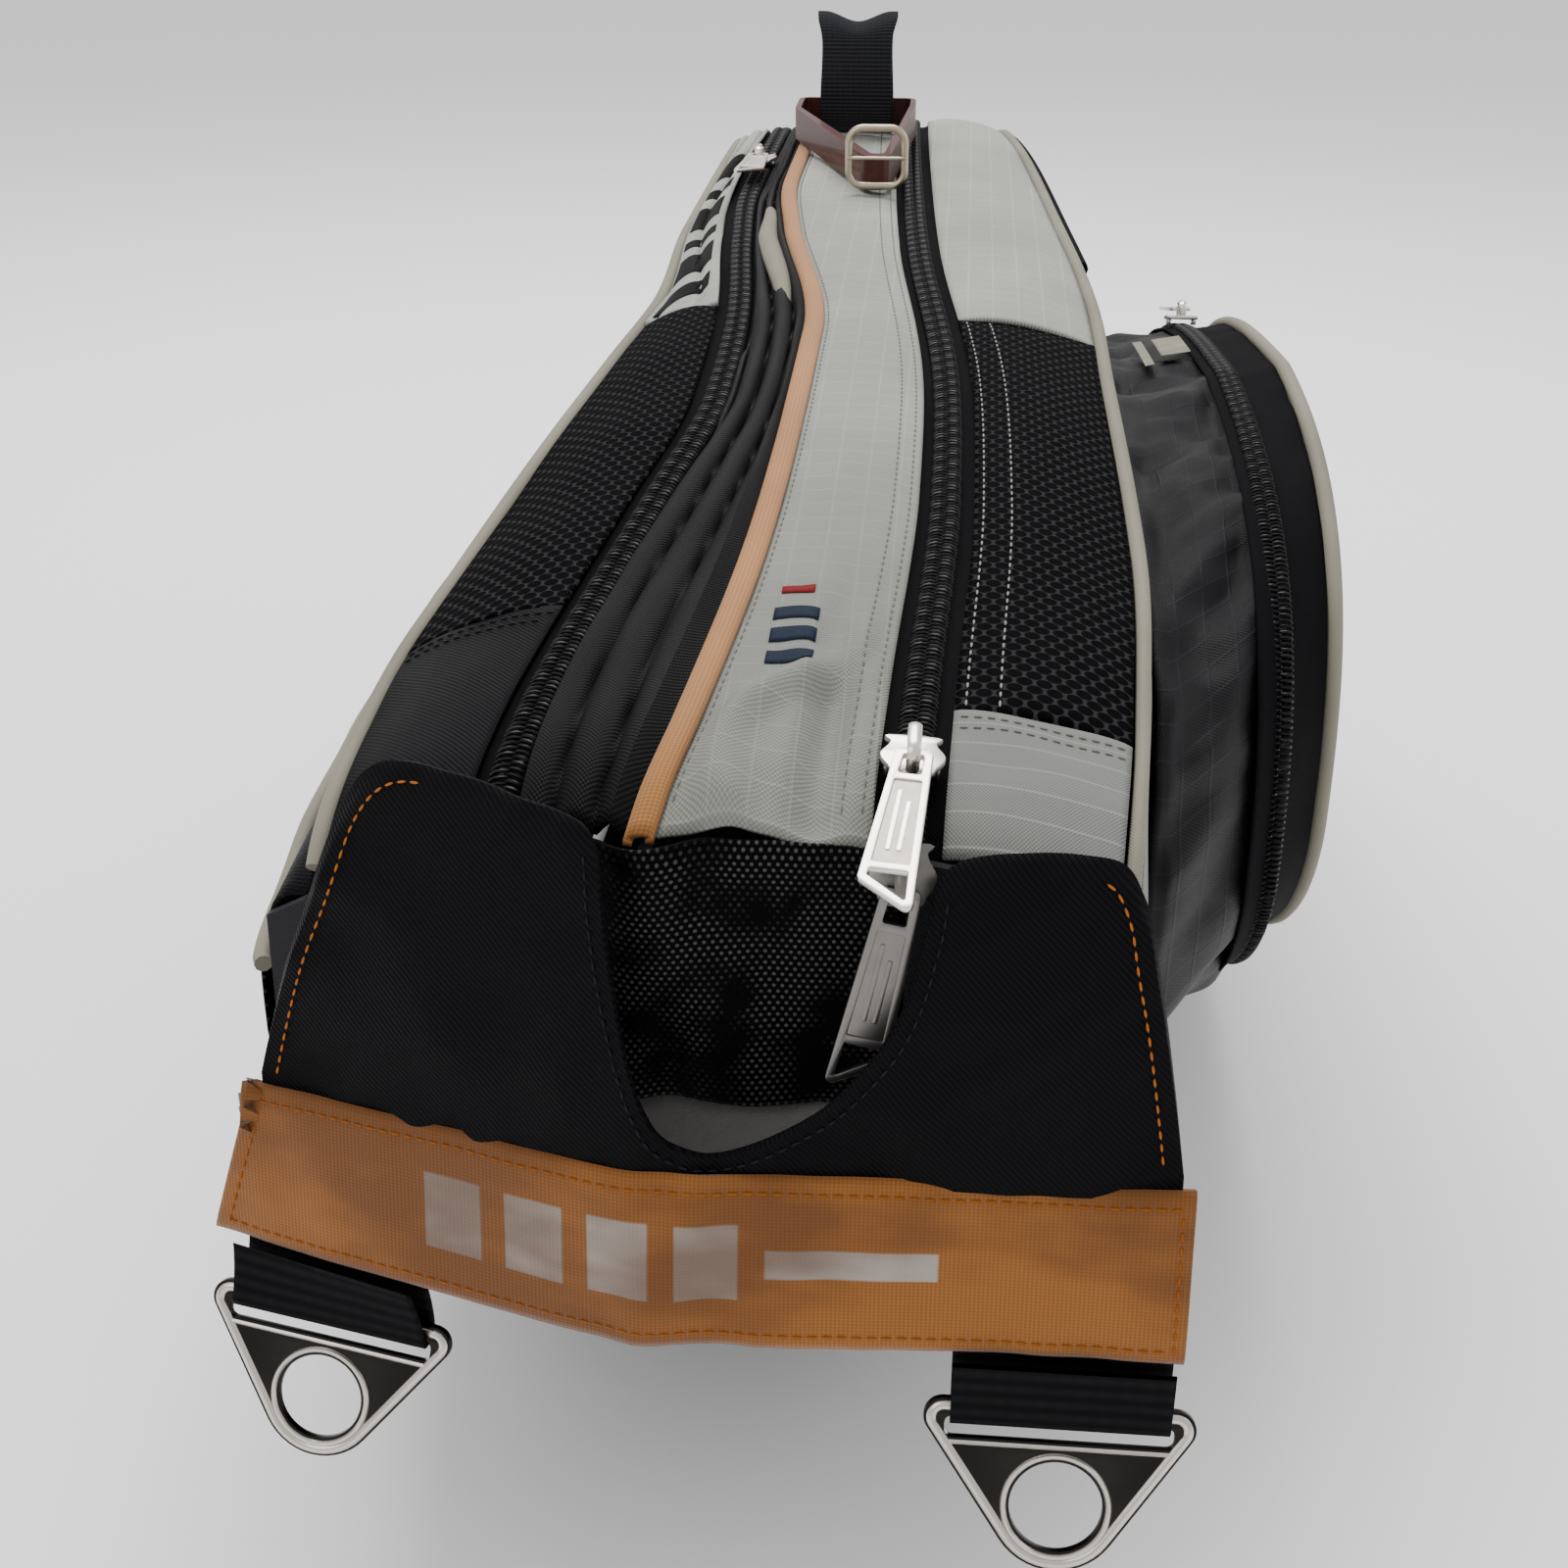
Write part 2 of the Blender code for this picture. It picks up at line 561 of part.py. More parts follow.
# ---- strap yoke and rings ------------------------------------------------------------------------
# x and upper edge of the yoke; the deep notch lies between its two lobes
YOKE_EDGE = ((-0.1060, 0.1750), (-0.0960, 0.197), (-0.0875, 0.223), (-0.0790, 0.2430),
             (-0.0690, 0.2525), (-0.0440, 0.2500), (-0.0215, 0.2440), (-0.0180, 0.220),
             (-0.0120, 0.186), (-0.0010, 0.1775), (0.0120, 0.1805), (0.0290, 0.191),
             (0.0420, 0.2086), (0.0475, 0.228), (0.0500, 0.2405), (0.0592, 0.2445),
             (0.0860, 0.2440), (0.0925, 0.2370), (0.0978, 0.218), (0.1023, 0.1966),
             (0.1056, 0.1780))
BAND_X = (-0.1220, 0.1085)
BAND_LOW, BAND_HIGH = (0.1275, 0.1325), (0.1690, 0.1735)     # heights at its left and right ends


def yoke_y(x, z):
    lean = YOKE_TOP_Y - YOKE_LEAN * (YOKE_TOP_Z - z)
    return lean + SWEEP * max(SWEEP_FROM_X - x, 0.0)


def band_edge(heights, x):
    part = min(max((x - BAND_X[0]) / (BAND_X[1] - BAND_X[0]), 0.0), 1.0)
    return heights[0] + (heights[1] - heights[0]) * part


def build_yoke(look):
    rings = []
    for x, high in YOKE_EDGE:
        low = band_edge(BAND_HIGH, x) + 0.0005
        ring = [Vector((x, yoke_y(x, z), z)) for z in (low, (low + high) / 2, high)]
        back = [p + Vector((0.0, YOKE_SHEET, 0.0)) for p in reversed(ring)]
        rings.append(ring + back)
    loft("strap_yoke", rings, look["black"])
    rings = []
    for x in (BAND_X[0], -0.1000, -0.0700, -0.0420, SWEEP_FROM_X, 0.0100, 0.0500, BAND_X[1]):
        taper = 0.0130 if x == BAND_X[0] else 0.0
        ring = []
        for i, heights in enumerate((BAND_LOW, BAND_HIGH)):
            z = band_edge(heights, x)
            ring.append(Vector((x + taper * i, yoke_y(x + taper * i, z) - 0.0006, z)))
        back = [p + Vector((0.0, BAND_SHEET, 0.0)) for p in reversed(ring)]
        rings.append(ring + back)
    loft("orange_band", rings, look["orange"])


def ring_outlines():
    """Edge, webbing slot and round hole, about the middle of the bar; y is up."""
    low = -BAR / 2 - SLOT_H
    middle = low - RING_RIM - RING_HOLE_R
    nose = RING_HOLE_R + RING_RIM
    tip = middle - nose / sin(RING_TAPER)
    half = (BAR / 2 - tip) * tan(RING_TAPER)
    edge = rounded([(0.0, tip), (half, BAR / 2), (-half, BAR / 2)], (nose, 0.0042, 0.0042), 6)
    slot = rounded([(-SLOT_W / 2, low), (SLOT_W / 2, low), (SLOT_W / 2, -BAR / 2),
                    (-SLOT_W / 2, -BAR / 2)], (0.0020,) * 4, 2)
    hole = arc((0.0, middle), RING_HOLE_R, 0, 360, 20)[:-1]
    return [edge, slot, hole]


def build_ring(side, x, turn, ring_turn, ring_roll, look):
    """A ring in a webbing tab, which twists from the band's lower edge to the ring's bar."""
    low = band_edge(BAND_LOW, x)
    at = Vector((x, yoke_y(x, low) - 0.0006 + BAND_SHEET / 2, low - TAB_DROP))
    above = Matrix.Translation(at) @ Matrix.Rotation(turn, 4, "Z")
    below = (Matrix.Translation(at) @ Matrix.Rotation(ring_turn, 4, "Z")
             @ Matrix.Rotation(ring_roll, 4, "Y"))
    upright = Matrix.Rotation(radians(90.0) - RING_LEAN, 4, "X")
    plate(f"{side}_triangle_ring", ring_outlines(), RING_T / 2, look["nickel"], below @ upright)
    hang(f"{side}_ring", at, f"{side}_triangle_ring")
    outer, inner = WEB_BEND + WEB_T, WEB_BEND
    top = TAB_DROP - 0.0010
    profile = [(-outer, top)] + arc((0.0, 0.0), outer, 180, 360, 8) + [(outer, top)]
    profile += [(inner, top)] + arc((0.0, 0.0), inner, 360, 180, 8) + [(-inner, top)]
    rings = []
    for x in (-WEB_W / 2, WEB_W / 2):
        points = [Vector((x, y, z)) for y, z in profile]
        rings.append([(below @ p).lerp(above @ p, max(p.z, 0.0) / top) for p in points])
    loft(f"{side}_web_tab", rings, look["black"])


# ---- zip sliders ---------------------------------------------------------------------------------
SIDEWAYS = Matrix(((0, 0, 1, 0), (1, 0, 0, 0), (0, 1, 0, 0), (0, 0, 0, 1)))
EYE = Vector((0.0, -0.0037, 0.0047))     # the pull's pivot on its slider


def slider_body(name, at, pitch, roll, finish, facing=0.0):
    """A slider that straddles the coil, with a bridge for its pull; returns its place."""
    half, wall = 0.0068, 0.0014
    tall, length = 0.0026, 0.0128
    profile = [(-half, -tall), (-half + wall, -tall), (-half + wall, 0.0004), (half - wall, 0.0004),
               (half - wall, -tall), (half, -tall), (half, 0.0020), (-half, 0.0020)]
    place = Matrix.Translation(at) @ Matrix.Rotation(pitch, 4, "X") @ Matrix.Rotation(roll, 4, "Y")
    place = place @ Matrix.Rotation(facing, 4, "Z")
    rings = [[Vector((x, y, z)) for x, z in profile] for y in (-length / 2, length / 2)]
    body = loft(name, rings, finish)
    arch = [(-0.0068, 0.0012), (0.0055, 0.0012), (0.0055, 0.0050), (0.0038, 0.0078),
            (-0.0050, 0.0078), (-0.0068, 0.0060)]
    opening = [(-0.0056, 0.0026), (-0.0056, 0.0056), (-0.0046, 0.0064), (0.0030, 0.0064),
               (0.0041, 0.0048), (0.0041, 0.0026)]
    bridge = plate(name + "_bridge", [arch, opening], 0.0017, finish, SIDEWAYS)
    BAG.objects.unlink(bridge)
    CUTTERS.objects.link(bridge)
    bridge.hide_render = True
    bridge.display_type = "WIRE"
    join = body.modifiers.new("bridge", "BOOLEAN")
    join.operation = "UNION"
    join.solver = "EXACT"
    join.object = bridge
    for item in (body, bridge):
        item.matrix_world = place
    return place


def pull_tab(name, pivot, aim, look, length=PULL_LEN, side=Vector((1.0, 0.0, 0.0))):
    """A tapered pull with an eye round the slider's bridge and an open end, hung from pivot."""
    body = rounded([(-0.0042, 0.0007), (-0.0062, -length), (0.0062, 0.0060 - length),
                    (0.0042, 0.0007)], (0.0012,) * 4, 2)
    eye = [(-0.0025, -0.0007), (-0.0028, -0.0080), (0.0028, -0.0080), (0.0025, -0.0007)]
    window = [(-0.0048, 0.0020 - length), (0.0046, 0.0076 - length), (0.0042, 0.0125 - length),
              (-0.0042, 0.0125 - length)]
    down = aim.normalized()
    across = (side - down * side.dot(down)).normalized()
    out = across.cross(-down)
    place = Matrix.Translation(pivot) @ Matrix((across, -down, out)).transposed().to_4x4()
    plate(name, [body, eye, window], PULL_T / 2, look["nickel"], place)
    hang(name, pivot, name)


def on_zip(seam, y):
    """Place, pitch and roll of a slider on a zip."""
    x = seam(y)
    step = 0.012
    pitch = atan((skin(x, y + step) - skin(x, y)) / step)
    roll = -atan((skin(x + step, y) - skin(x - step, y)) / (2 * step))
    return Vector((x, y, skin(x, y) + 0.0006)), pitch, roll


def over_corner(pitch):
    """Place of the lower slider, which lies over the corner where the top meets the narrow end."""
    x = zip_r(NEAR_Y)
    corner = Vector((x, NEAR_Y - GAP - SHEET, skin(x, NEAR_Y)))
    out = Vector((0.0, -sin(pitch), cos(pitch)))
    down = Vector((0.0, -cos(pitch), -sin(pitch)))
    return corner + out * 0.0032 + down * 0.0035, pitch, 0.0


def build_sliders(look):
    corner = over_corner(radians(60.0))
    for name, spot, drop, lean in (("right_slider", on_zip(zip_r, RIGHT_SLIDER_Y), 16.0, -0.11),
                                   ("right_lower_slider", corner, 86.0, -0.20)):
        place = slider_body(name, *spot, look["nickel"])
        aim = Vector((lean, -cos(radians(drop)), -sin(radians(drop))))
        pull_tab(name.replace("slider", "pull"), place @ EYE, aim, look)
    place = slider_body("left_slider", *on_zip(zip_l, LEFT_SLIDER_Y), look["nickel"])
    pull_tab("left_pull", place @ EYE, Vector((0.0, -1.0, 0.0)), look)


def build_pocket_slider(look):
    middle = (GUSSET_X + TEETH_X) / 2
    centre, points = pocket_outline((middle - POCKET_WALL_X) / (FACE_X - POCKET_WALL_X))
    upper = sorted(p for p in points if p[1] > centre[1])
    after = next(i for i, p in enumerate(upper) if p[0] > POCKET_SLIDER_Y)
    (y0, z0), (y1, z1) = upper[after - 1], upper[after]
    slope = (z1 - z0) / (y1 - y0)
    at = Vector((middle, POCKET_SLIDER_Y, z0 + slope * (POCKET_SLIDER_Y - y0) + 0.0040))
    place = slider_body("pocket_slider", at, atan(slope), 0.0, look["nickel"], facing=pi)
    pull_tab("pocket_pull", place @ EYE, Vector((0.0, 1.0, slope)), look, length=0.032)


# ---- handle and tag strap ------------------------------------------------------------------------
def handle_foot():
    x, y = HANDLE_AT
    return Vector((x, y, skin(x, y) + 0.0010))


def build_handle(look):
    """A haul loop: both ends of one band sewn into one seam, wider towards its top."""
    outer, inner = [], []
    steps = 20
    for i in range(steps):
        turn = 2 * pi * i / steps
        swell = 0.55 - 0.45 * cos(turn)
        outer.append((HANDLE_DEPTH / 2 * sin(turn) * swell, HANDLE_H / 2 * (1 - cos(turn))))
    shrink = 1 - 2 * HANDLE_T / HANDLE_DEPTH
    for y, z in outer:
        inner.append((y * shrink, HANDLE_SEAM + z * (HANDLE_H - HANDLE_SEAM - HANDLE_T) / HANDLE_H))
    plate("grab_handle", [outer, inner], HANDLE_W / 2, look["black"],
          Matrix.Translation(handle_foot()) @ SIDEWAYS)


def build_tag(look):
    """A buckled leather strap looped round the handle's foot, standing on its edge."""
    far, near = HANDLE_AT[1], TAG_NEAR_Y
    slope = atan((along(TOP, far) - along(TOP, near)) / (far - near))
    outline = rounded([(0.0090, near - far), (0.0200, near - far), (0.0270, -0.0100),
                       (0.0270, 0.0130), (-0.0290, 0.0130), (-0.0290, -0.0170)],
                      (0.0055,) * 6)
    hole = rounded([(0.0117, near - far + 0.0060), (0.0173, near - far + 0.0060),
                    (0.0245, -0.0080), (0.0245, 0.0105), (-0.0265, 0.0105), (-0.0265, -0.0155)],
                   (0.0025,) * 6)
    lift = along(TOP, far) + 0.0018 + TAG_W / 2
    place = Matrix.Translation((0.0, far, lift)) @ Matrix.Rotation(slope, 4, "X")
    plate("tag_strap", [outline, hole], TAG_W / 2, look["leather"], place)
    upright = place @ Matrix.Translation((0.0145, near - far - 0.0022, 0.0070))
    upright = upright @ Matrix.Rotation(radians(90.0), 4, "X")
    half = TAG_BUCKLE / 2
    frame = []
    for size, corner in ((half, 0.0070), (half - 0.0030, 0.0045)):
        square = [(-size, -size), (size, -size), (size, size), (-size, size)]
        frame.append(rounded(square, (corner,) * 4, 4))
    plate("tag_buckle", frame, 0.0012, look["brass"], upright)
    prong = [(-half, -0.0008), (half - 0.0010, -0.0008), (half - 0.0010, 0.0008), (-half, 0.0008)]
    plate("tag_prong", [prong], 0.0007, look["brass"],
          upright @ Matrix.Translation((0.0, 0.0, 0.0024)))
    hang("haul_handle", handle_foot(), "grab_handle")
    hang("tag", place @ Vector((0.0, 0.0130, -TAG_W / 2)), "tag_strap")
    hang("buckle", upright @ Vector((-half + 0.0015, 0.0, 0.0)), "tag_buckle")
    hang("prong", upright @ Vector((-half + 0.0015, 0.0, 0.0024)), "tag_prong")


# ---- joints --------------------------------------------------------------------------------------
RIGHT_SHELL = ("right_tape_outer", "right_teeth_outer", "right_patch", "right_mesh_gusset",
               "right_shoulder_panel", "right_cream_piping", "right_side_wall", "right_near_end",
               "right_far_end", "right_pocket_gusset", "right_pocket_teeth")
LEFT_SHELL = ("left_tape_outer", "left_teeth_outer", "left_patch", "left_mesh_gusset",
              "left_shoulder_panel", "left_cream_piping", "left_side_wall", "left_near_end",
              "left_far_end", "left_mesh_pocket", "left_pocket_piping")


def hang(joint, at, *names):
    """Pieces that move together hang from one empty on their joint's axis."""
    pivot = bpy.data.objects.new(joint + "_axis", None)
    pivot.location = at
    BAG.objects.link(pivot)
    for name in names:
        part = bpy.data.objects[name]
        part.parent = pivot
        part.matrix_parent_inverse = Matrix.Translation(-Vector(at))


def hang_shells():
    hang("right_shell", HINGE_R, *RIGHT_SHELL)
    hang("left_shell", HINGE_L, *LEFT_SHELL)
    hang("pocket_lid", LID_HINGE, "right_pocket_rim", "right_pocket_piping", "right_pocket_face")
    hang("yoke", YOKE_HINGE, "strap_yoke", "orange_band", "right_web_tab", "left_web_tab")


# ---- assembly ------------------------------------------------------------------------------------
def build():
    clear_scene()
    look = finishes()
    build_base(look)
    build_divider(look)
    build_top_centre(look)
    build_zip("right", zip_r, look)
    build_zip("left", zip_l, look)
    build_ends(look)
    build_right_shell(look)
    build_left_shell(look)
    build_right_pocket(look)
    build_left_pocket(look)
    build_yoke(look)
    build_ring("right", RING_R_X, 0.0, 0.0, 0.0, look)
    build_ring("left", RING_L_X, LEFT_TURN, LEFT_RING_TURN, LEFT_RING_ROLL, look)
    build_sliders(look)
    build_pocket_slider(look)
    build_handle(look)
    build_tag(look)
    hang_shells()


build()
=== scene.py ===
from bisect import bisect_right
from math import atan2, ceil, cos, hypot, pi, radians, sin

import bmesh
import bpy
from mathutils import Matrix, Vector, noise


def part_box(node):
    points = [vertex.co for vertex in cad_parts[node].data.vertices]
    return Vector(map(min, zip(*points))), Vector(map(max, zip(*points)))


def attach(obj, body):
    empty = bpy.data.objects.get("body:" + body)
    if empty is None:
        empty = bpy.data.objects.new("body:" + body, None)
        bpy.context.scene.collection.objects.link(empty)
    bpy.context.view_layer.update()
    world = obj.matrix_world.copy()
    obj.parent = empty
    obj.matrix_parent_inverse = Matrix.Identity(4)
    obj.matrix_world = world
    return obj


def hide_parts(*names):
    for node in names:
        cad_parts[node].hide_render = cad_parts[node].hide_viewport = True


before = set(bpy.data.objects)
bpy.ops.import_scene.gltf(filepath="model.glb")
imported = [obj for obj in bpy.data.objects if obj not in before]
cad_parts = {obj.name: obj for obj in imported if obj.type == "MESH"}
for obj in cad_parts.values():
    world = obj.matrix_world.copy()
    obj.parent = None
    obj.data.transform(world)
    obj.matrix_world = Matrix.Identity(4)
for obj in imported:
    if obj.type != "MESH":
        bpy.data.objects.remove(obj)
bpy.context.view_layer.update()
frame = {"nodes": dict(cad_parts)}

MM = 0.001

# ---- the bag's own profiles, in metres: (y, value)
NEAR_Y, FAR_Y = -0.362, 0.362
TOP = ((-0.370, 0.232), (-0.352, 0.2450), (-0.330, 0.2515), (-0.250, 0.262), (-0.100, 0.280),
       (0.050, 0.292), (0.200, 0.300), (0.300, 0.303), (0.340, 0.290), (0.370, 0.262))
UNDER = ((-0.370, 0.112), (-0.250, 0.056), (-0.140, 0.012), (-0.060, 0.0), (0.280, 0.0),
         (0.330, 0.014), (0.370, 0.060))
PIPING_X = ((-0.370, -0.016), (-0.330, -0.008), (-0.226, 0.000), (-0.078, 0.002),
            (0.056, -0.016), (0.150, -0.024), (0.370, -0.024))
ZIP_R_X = ((-0.370, 0.043), (-0.300, 0.0455), (-0.200, 0.0490), (-0.100, 0.0470),
           (0.031, 0.035), (0.200, 0.027), (0.370, 0.022))
EDGE_R_X = ((-0.370, 0.092), (-0.307, 0.098), (-0.213, 0.103), (-0.083, 0.101),
            (0.000, 0.100), (0.100, 0.092), (0.300, 0.072), (0.370, 0.050))
ZIP_L_X = ((-0.370, -0.050), (-0.300, -0.045), (-0.206, -0.033), (-0.130, -0.024),
           (-0.050, -0.026), (0.056, -0.036), (0.150, -0.042), (0.370, -0.042))
EDGE_L_X = ((-0.370, -0.098), (-0.270, -0.097), (-0.220, -0.090), (-0.150, -0.080),
            (-0.070, -0.068), (0.000, -0.060), (0.100, -0.064), (0.300, -0.064), (0.370, -0.060))
WALL_R = (((-0.370, 0.097, 0.190), (-0.200, 0.110, 0.200), (0.000, 0.112, 0.205),
           (0.200, 0.112, 0.210), (0.370, 0.080, 0.200)),
          ((-0.370, 0.094, 0.150), (-0.200, 0.110, 0.120), (0.000, 0.113, 0.110),
           (0.200, 0.113, 0.110), (0.370, 0.085, 0.130)),
          ((-0.370, 0.091, 0.126), (-0.200, 0.102, 0.058), (0.000, 0.105, 0.035),
           (0.200, 0.105, 0.035), (0.370, 0.080, 0.080)))
WALL_L = (((-0.370, -0.112, 0.196), (-0.250, -0.108, 0.210), (0.000, -0.104, 0.208),
           (0.100, -0.098, 0.208), (0.250, -0.096, 0.210), (0.370, -0.078, 0.200)),
          ((-0.370, -0.112, 0.160), (-0.250, -0.124, 0.162), (0.000, -0.133, 0.160),
           (0.250, -0.128, 0.160), (0.370, -0.088, 0.155)),
          ((-0.370, -0.108, 0.130), (-0.250, -0.122, 0.090), (0.000, -0.133, 0.070),
           (0.250, -0.128, 0.070), (0.370, -0.088, 0.100)))
LEFT_DROP, RIGHT_DROP = 0.026, 0.012
SWEEP, SWEEP_FROM_X, SWEEP_END_Y = 0.33, -0.020, -0.150
PIPE_R = 0.0026
TAPE_SINK, CORD_SINK, COIL_SINK = 0.0030, 0.0014, 0.0016
END_GAP = 0.002
TRIM_TOP_Z = 0.172
CLOTH = 1.6 * MM
FOOT_R_X, FOOT_L_X = 0.0935, -0.1135
UP, TO_VIEWER = Vector((0, 0, 1)), Vector((0, -1, 0))


def along(points, y):
    """Smooth value at y of a profile given as (y, value) pairs."""
    if y <= points[0][0]:
        return points[0][1]
    if y >= points[-1][0]:
        return points[-1][1]
    at = max(i for i in range(len(points) - 1) if points[i][0] <= y)

    def slope(i):
        before, after = points[max(i - 1, 0)], points[min(i + 1, len(points) - 1)]
        turn = (points[i][1] - before[1]) * (after[1] - points[i][1])
        if 0 < i < len(points) - 1 and turn <= 0.0:
            return 0.0
        return (after[1] - before[1]) / (after[0] - before[0])

    (y0, v0), (y1, v1) = points[at], points[at + 1]
    step = y1 - y0
    t = (y - y0) / step
    return (v0 * (1 + 2 * t) * (1 - t) ** 2 + v1 * t * t * (3 - 2 * t)
            + step * (slope(at) * t * (1 - t) ** 2 + slope(at + 1) * t * t * (t - 1)))


def rail(points, y):
    return (along([(p[0], p[1]) for p in points], y), along([(p[0], p[2]) for p in points], y))


def skin(x, y):
    """Height of the bag's top at x."""
    across = x / (0.10 if x > 0 else -0.095)
    return along(TOP, y) - (RIGHT_DROP if x > 0 else LEFT_DROP) * across ** 2


def swept(x, y, z):
    """The narrow end falls back on its left side, and the fall fades along the bag."""
    fade = min(max((SWEEP_END_Y - y) / (SWEEP_END_Y - NEAR_Y), 0.0), 1.0)
    return Vector((x, y + SWEEP * max(SWEEP_FROM_X - x, 0.0) * fade, z))


def mix(a, b, t):
    return a + (b - a) * t


def ease(t):
    t = min(max(t, 0.0), 1.0)
    return t * t * (3 - 2 * t)


def rough(x, y, wide, long, seed):
    """Smooth noise between -1 and 1, stretched to the given sizes."""
    return noise.noise(Vector((x / wide, y / long, seed)))


def bump_at(x, centre, width):
    return max(0.0, 1 - abs((x - centre) / width)) ** 2 * (1 + 2 * abs((x - centre) / width))


# ---- shader arithmetic
def dim(colour, share):
    return tuple(c * share for c in colour)


class Value:
    """A socket that takes part in arithmetic; an expression adds its Math nodes."""

    def __init__(self, paint, socket):
        self.paint, self.socket = paint, socket

    def math(self, operation, *others):
        return self.paint.math(operation, self, *others)

    def __add__(self, other):
        return self.math("ADD", other)

    def __sub__(self, other):
        return self.math("SUBTRACT", other)

    def __rsub__(self, other):
        return self.paint.math("SUBTRACT", other, self)

    def __mul__(self, other):
        return self.math("MULTIPLY", other)

    def __truediv__(self, other):
        return self.math("DIVIDE", other)

    def __pow__(self, other):
        return self.math("POWER", other)

    def wave(self, period):
        """0 to 1 and back, once a period."""
        return (self * (2 * pi / period)).math("COSINE") * 0.5 + 0.5

    def fract(self):
        return self.math("FRACT")

    def over(self, edge, soft):
        """0 below the edge and 1 above it, over a soft distance."""
        return self.paint.add("ShaderNodeMapRange", {"interpolation_type": "SMOOTHSTEP"},
                              {"Value": self, "From Min": edge - soft, "From Max": edge + soft})


class Paint:
    """A material: one Principled shader and the nodes that feed it."""

    def __init__(self, name, roughness=0.8, metallic=0.0, **fixed):
        self.material = bpy.data.materials.new(name)
        self.material.use_nodes = True
        self.tree = self.material.node_tree
        self.shader = self.tree.nodes["Principled BSDF"]
        self.set("Roughness", roughness)
        self.set("Metallic", metallic)
        for socket, value in fixed.items():
            self.set(socket.replace("_", " "), value)
        if not metallic:
            self.set("Specular IOR Level", fixed.get("Specular_IOR_Level", 0.2))

    def set(self, name, value):
        socket = self.shader.inputs[name]
        if isinstance(value, Value):
            self.tree.links.new(value.socket, socket)
        else:
            socket.default_value = (*value, 1.0) if isinstance(value, tuple) else value

    def add(self, kind, settings=None, inputs=None, out=0):
        node = self.tree.nodes.new(kind)
        for key, value in (settings or {}).items():
            setattr(node, key, value)
        for key, value in (inputs or {}).items():
            if isinstance(value, Value):
                self.tree.links.new(value.socket, node.inputs[key])
            elif isinstance(value, tuple) and len(value) == 3 and \
                    len(node.inputs[key].default_value) == 4:
                node.inputs[key].default_value = (*value, 1.0)
            else:
                node.inputs[key].default_value = value
        return Value(self, node.outputs[out])

    def math(self, operation, *terms):
        return self.add("ShaderNodeMath", {"operation": operation}, dict(enumerate(terms)))

    def where(self, out="Object"):
        return self.add("ShaderNodeTexCoord", out=out)

    def split(self, vector):
        node = self.tree.nodes.new("ShaderNodeSeparateXYZ")
        self.tree.links.new(vector.socket, node.inputs[0])
        return [Value(self, o) for o in node.outputs]

    def noise(self, scale, detail=3.0, vector=None):
        return self.add("ShaderNodeTexNoise", None, {
            "Vector": vector or self.where(), "Scale": scale, "Detail": detail}, out="Fac")

    def blend(self, factor, a, b):
        return self.add("ShaderNodeMix", {"data_type": "RGBA"}, {0: factor, 6: a, 7: b}, out=2)

    def flat(self):
        """The piece's own surface coordinates, in metres."""
        return self.split(self.where("UV"))[:2]

    def finish(self, colour, height=None, depth=0.0, strength=1.0, roughness=None):
        self.set("Base Color", colour)
        if roughness is not None:
            self.set("Roughness", roughness)
        if height is not None:
            self.set("Normal", self.add("ShaderNodeBump", None, {
                "Height": height, "Distance": depth, "Strength": strength}))
        return self.material


def plain_weave(u, v, thread):
    return (u * (2 * pi / thread)).math("SINE") * (v * (2 * pi / thread)).math("SINE") * 0.5 + 0.5


def canvas(name, colour, shade, thread, rip=0.0, depth=0.22 * MM, dirt=0.3, roughness=0.85,
           twill=False, rip_bright=0.5, gleam=0.15, one_way=False, near_end_shade_and_grime=0.0):
    """Woven cloth: over and under threads, an optional ripstop grid, worn patches, and an optional
    painted shade with grime toward the narrow end.
    """
    paint = Paint(name, roughness, Specular_IOR_Level=gleam)
    u, v = paint.flat()
    if twill:
        height = (u + v).wave(thread) * 0.7 + (u - v).wave(thread * 0.5) * 0.3
    else:
        height = plain_weave(u, v, thread)
    patches = paint.noise(12.0, 5.0).over(0.52, 0.14)
    base = paint.blend(height, shade, colour)
    if rip:
        lines = v.wave(rip) ** 60.0
        if not one_way:
            lines = lines.math("MAXIMUM", u.wave(rip) ** 60.0)
        base = paint.blend(lines * rip_bright, base, dim(colour, 1.25))
        height = height + lines * 0.8
    base = paint.blend(patches * dirt, base, dim(shade, 0.62))
    # Painted shade and grime: the colour darkens toward the narrow end (object y below -0.04, fully
    # by -0.36), where the light is weaker.
    if near_end_shade_and_grime:
        near_end_shade_and_grime_mask = 1 - paint.split(paint.where())[1].over(-0.20, 0.16)
        base = paint.blend(near_end_shade_and_grime_mask * near_end_shade_and_grime, base, dim(shade, 0.55))
    return paint.finish(base, height, depth, 0.7, roughness - patches * 0.08)


def holes(u, v, wide, tall):
    """Distance from the nearest hole's middle, on a staggered lattice; 1 is one hole's spacing."""
    def lattice(shift):
        across = (u / wide + shift).fract() - 0.5
        up = ((v / tall + shift).fract() - 0.5) * (tall / wide)
        return (across * across + up * up).math("SQRT")
    return lattice(0.0).math("MINIMUM", lattice(0.5))


def spacer_mesh(name, wide, tall, radius, strand, hole, gloss, depth):
    """Knitted spacer cloth: a staggered lattice of open cells."""
    paint = Paint(name, gloss, Specular_IOR_Level=0.02)
    u, v = paint.flat()
    open_cell = holes(u, v, wide, tall).over(radius, 0.05)
    knit = (u + v).wave(0.9 * MM) * (u - v).wave(0.9 * MM)
    return paint.finish(paint.blend(open_cell, hole, paint.blend(knit, strand, dim(strand, 2.1))),
                        open_cell + knit * 0.18, depth, 0.9)


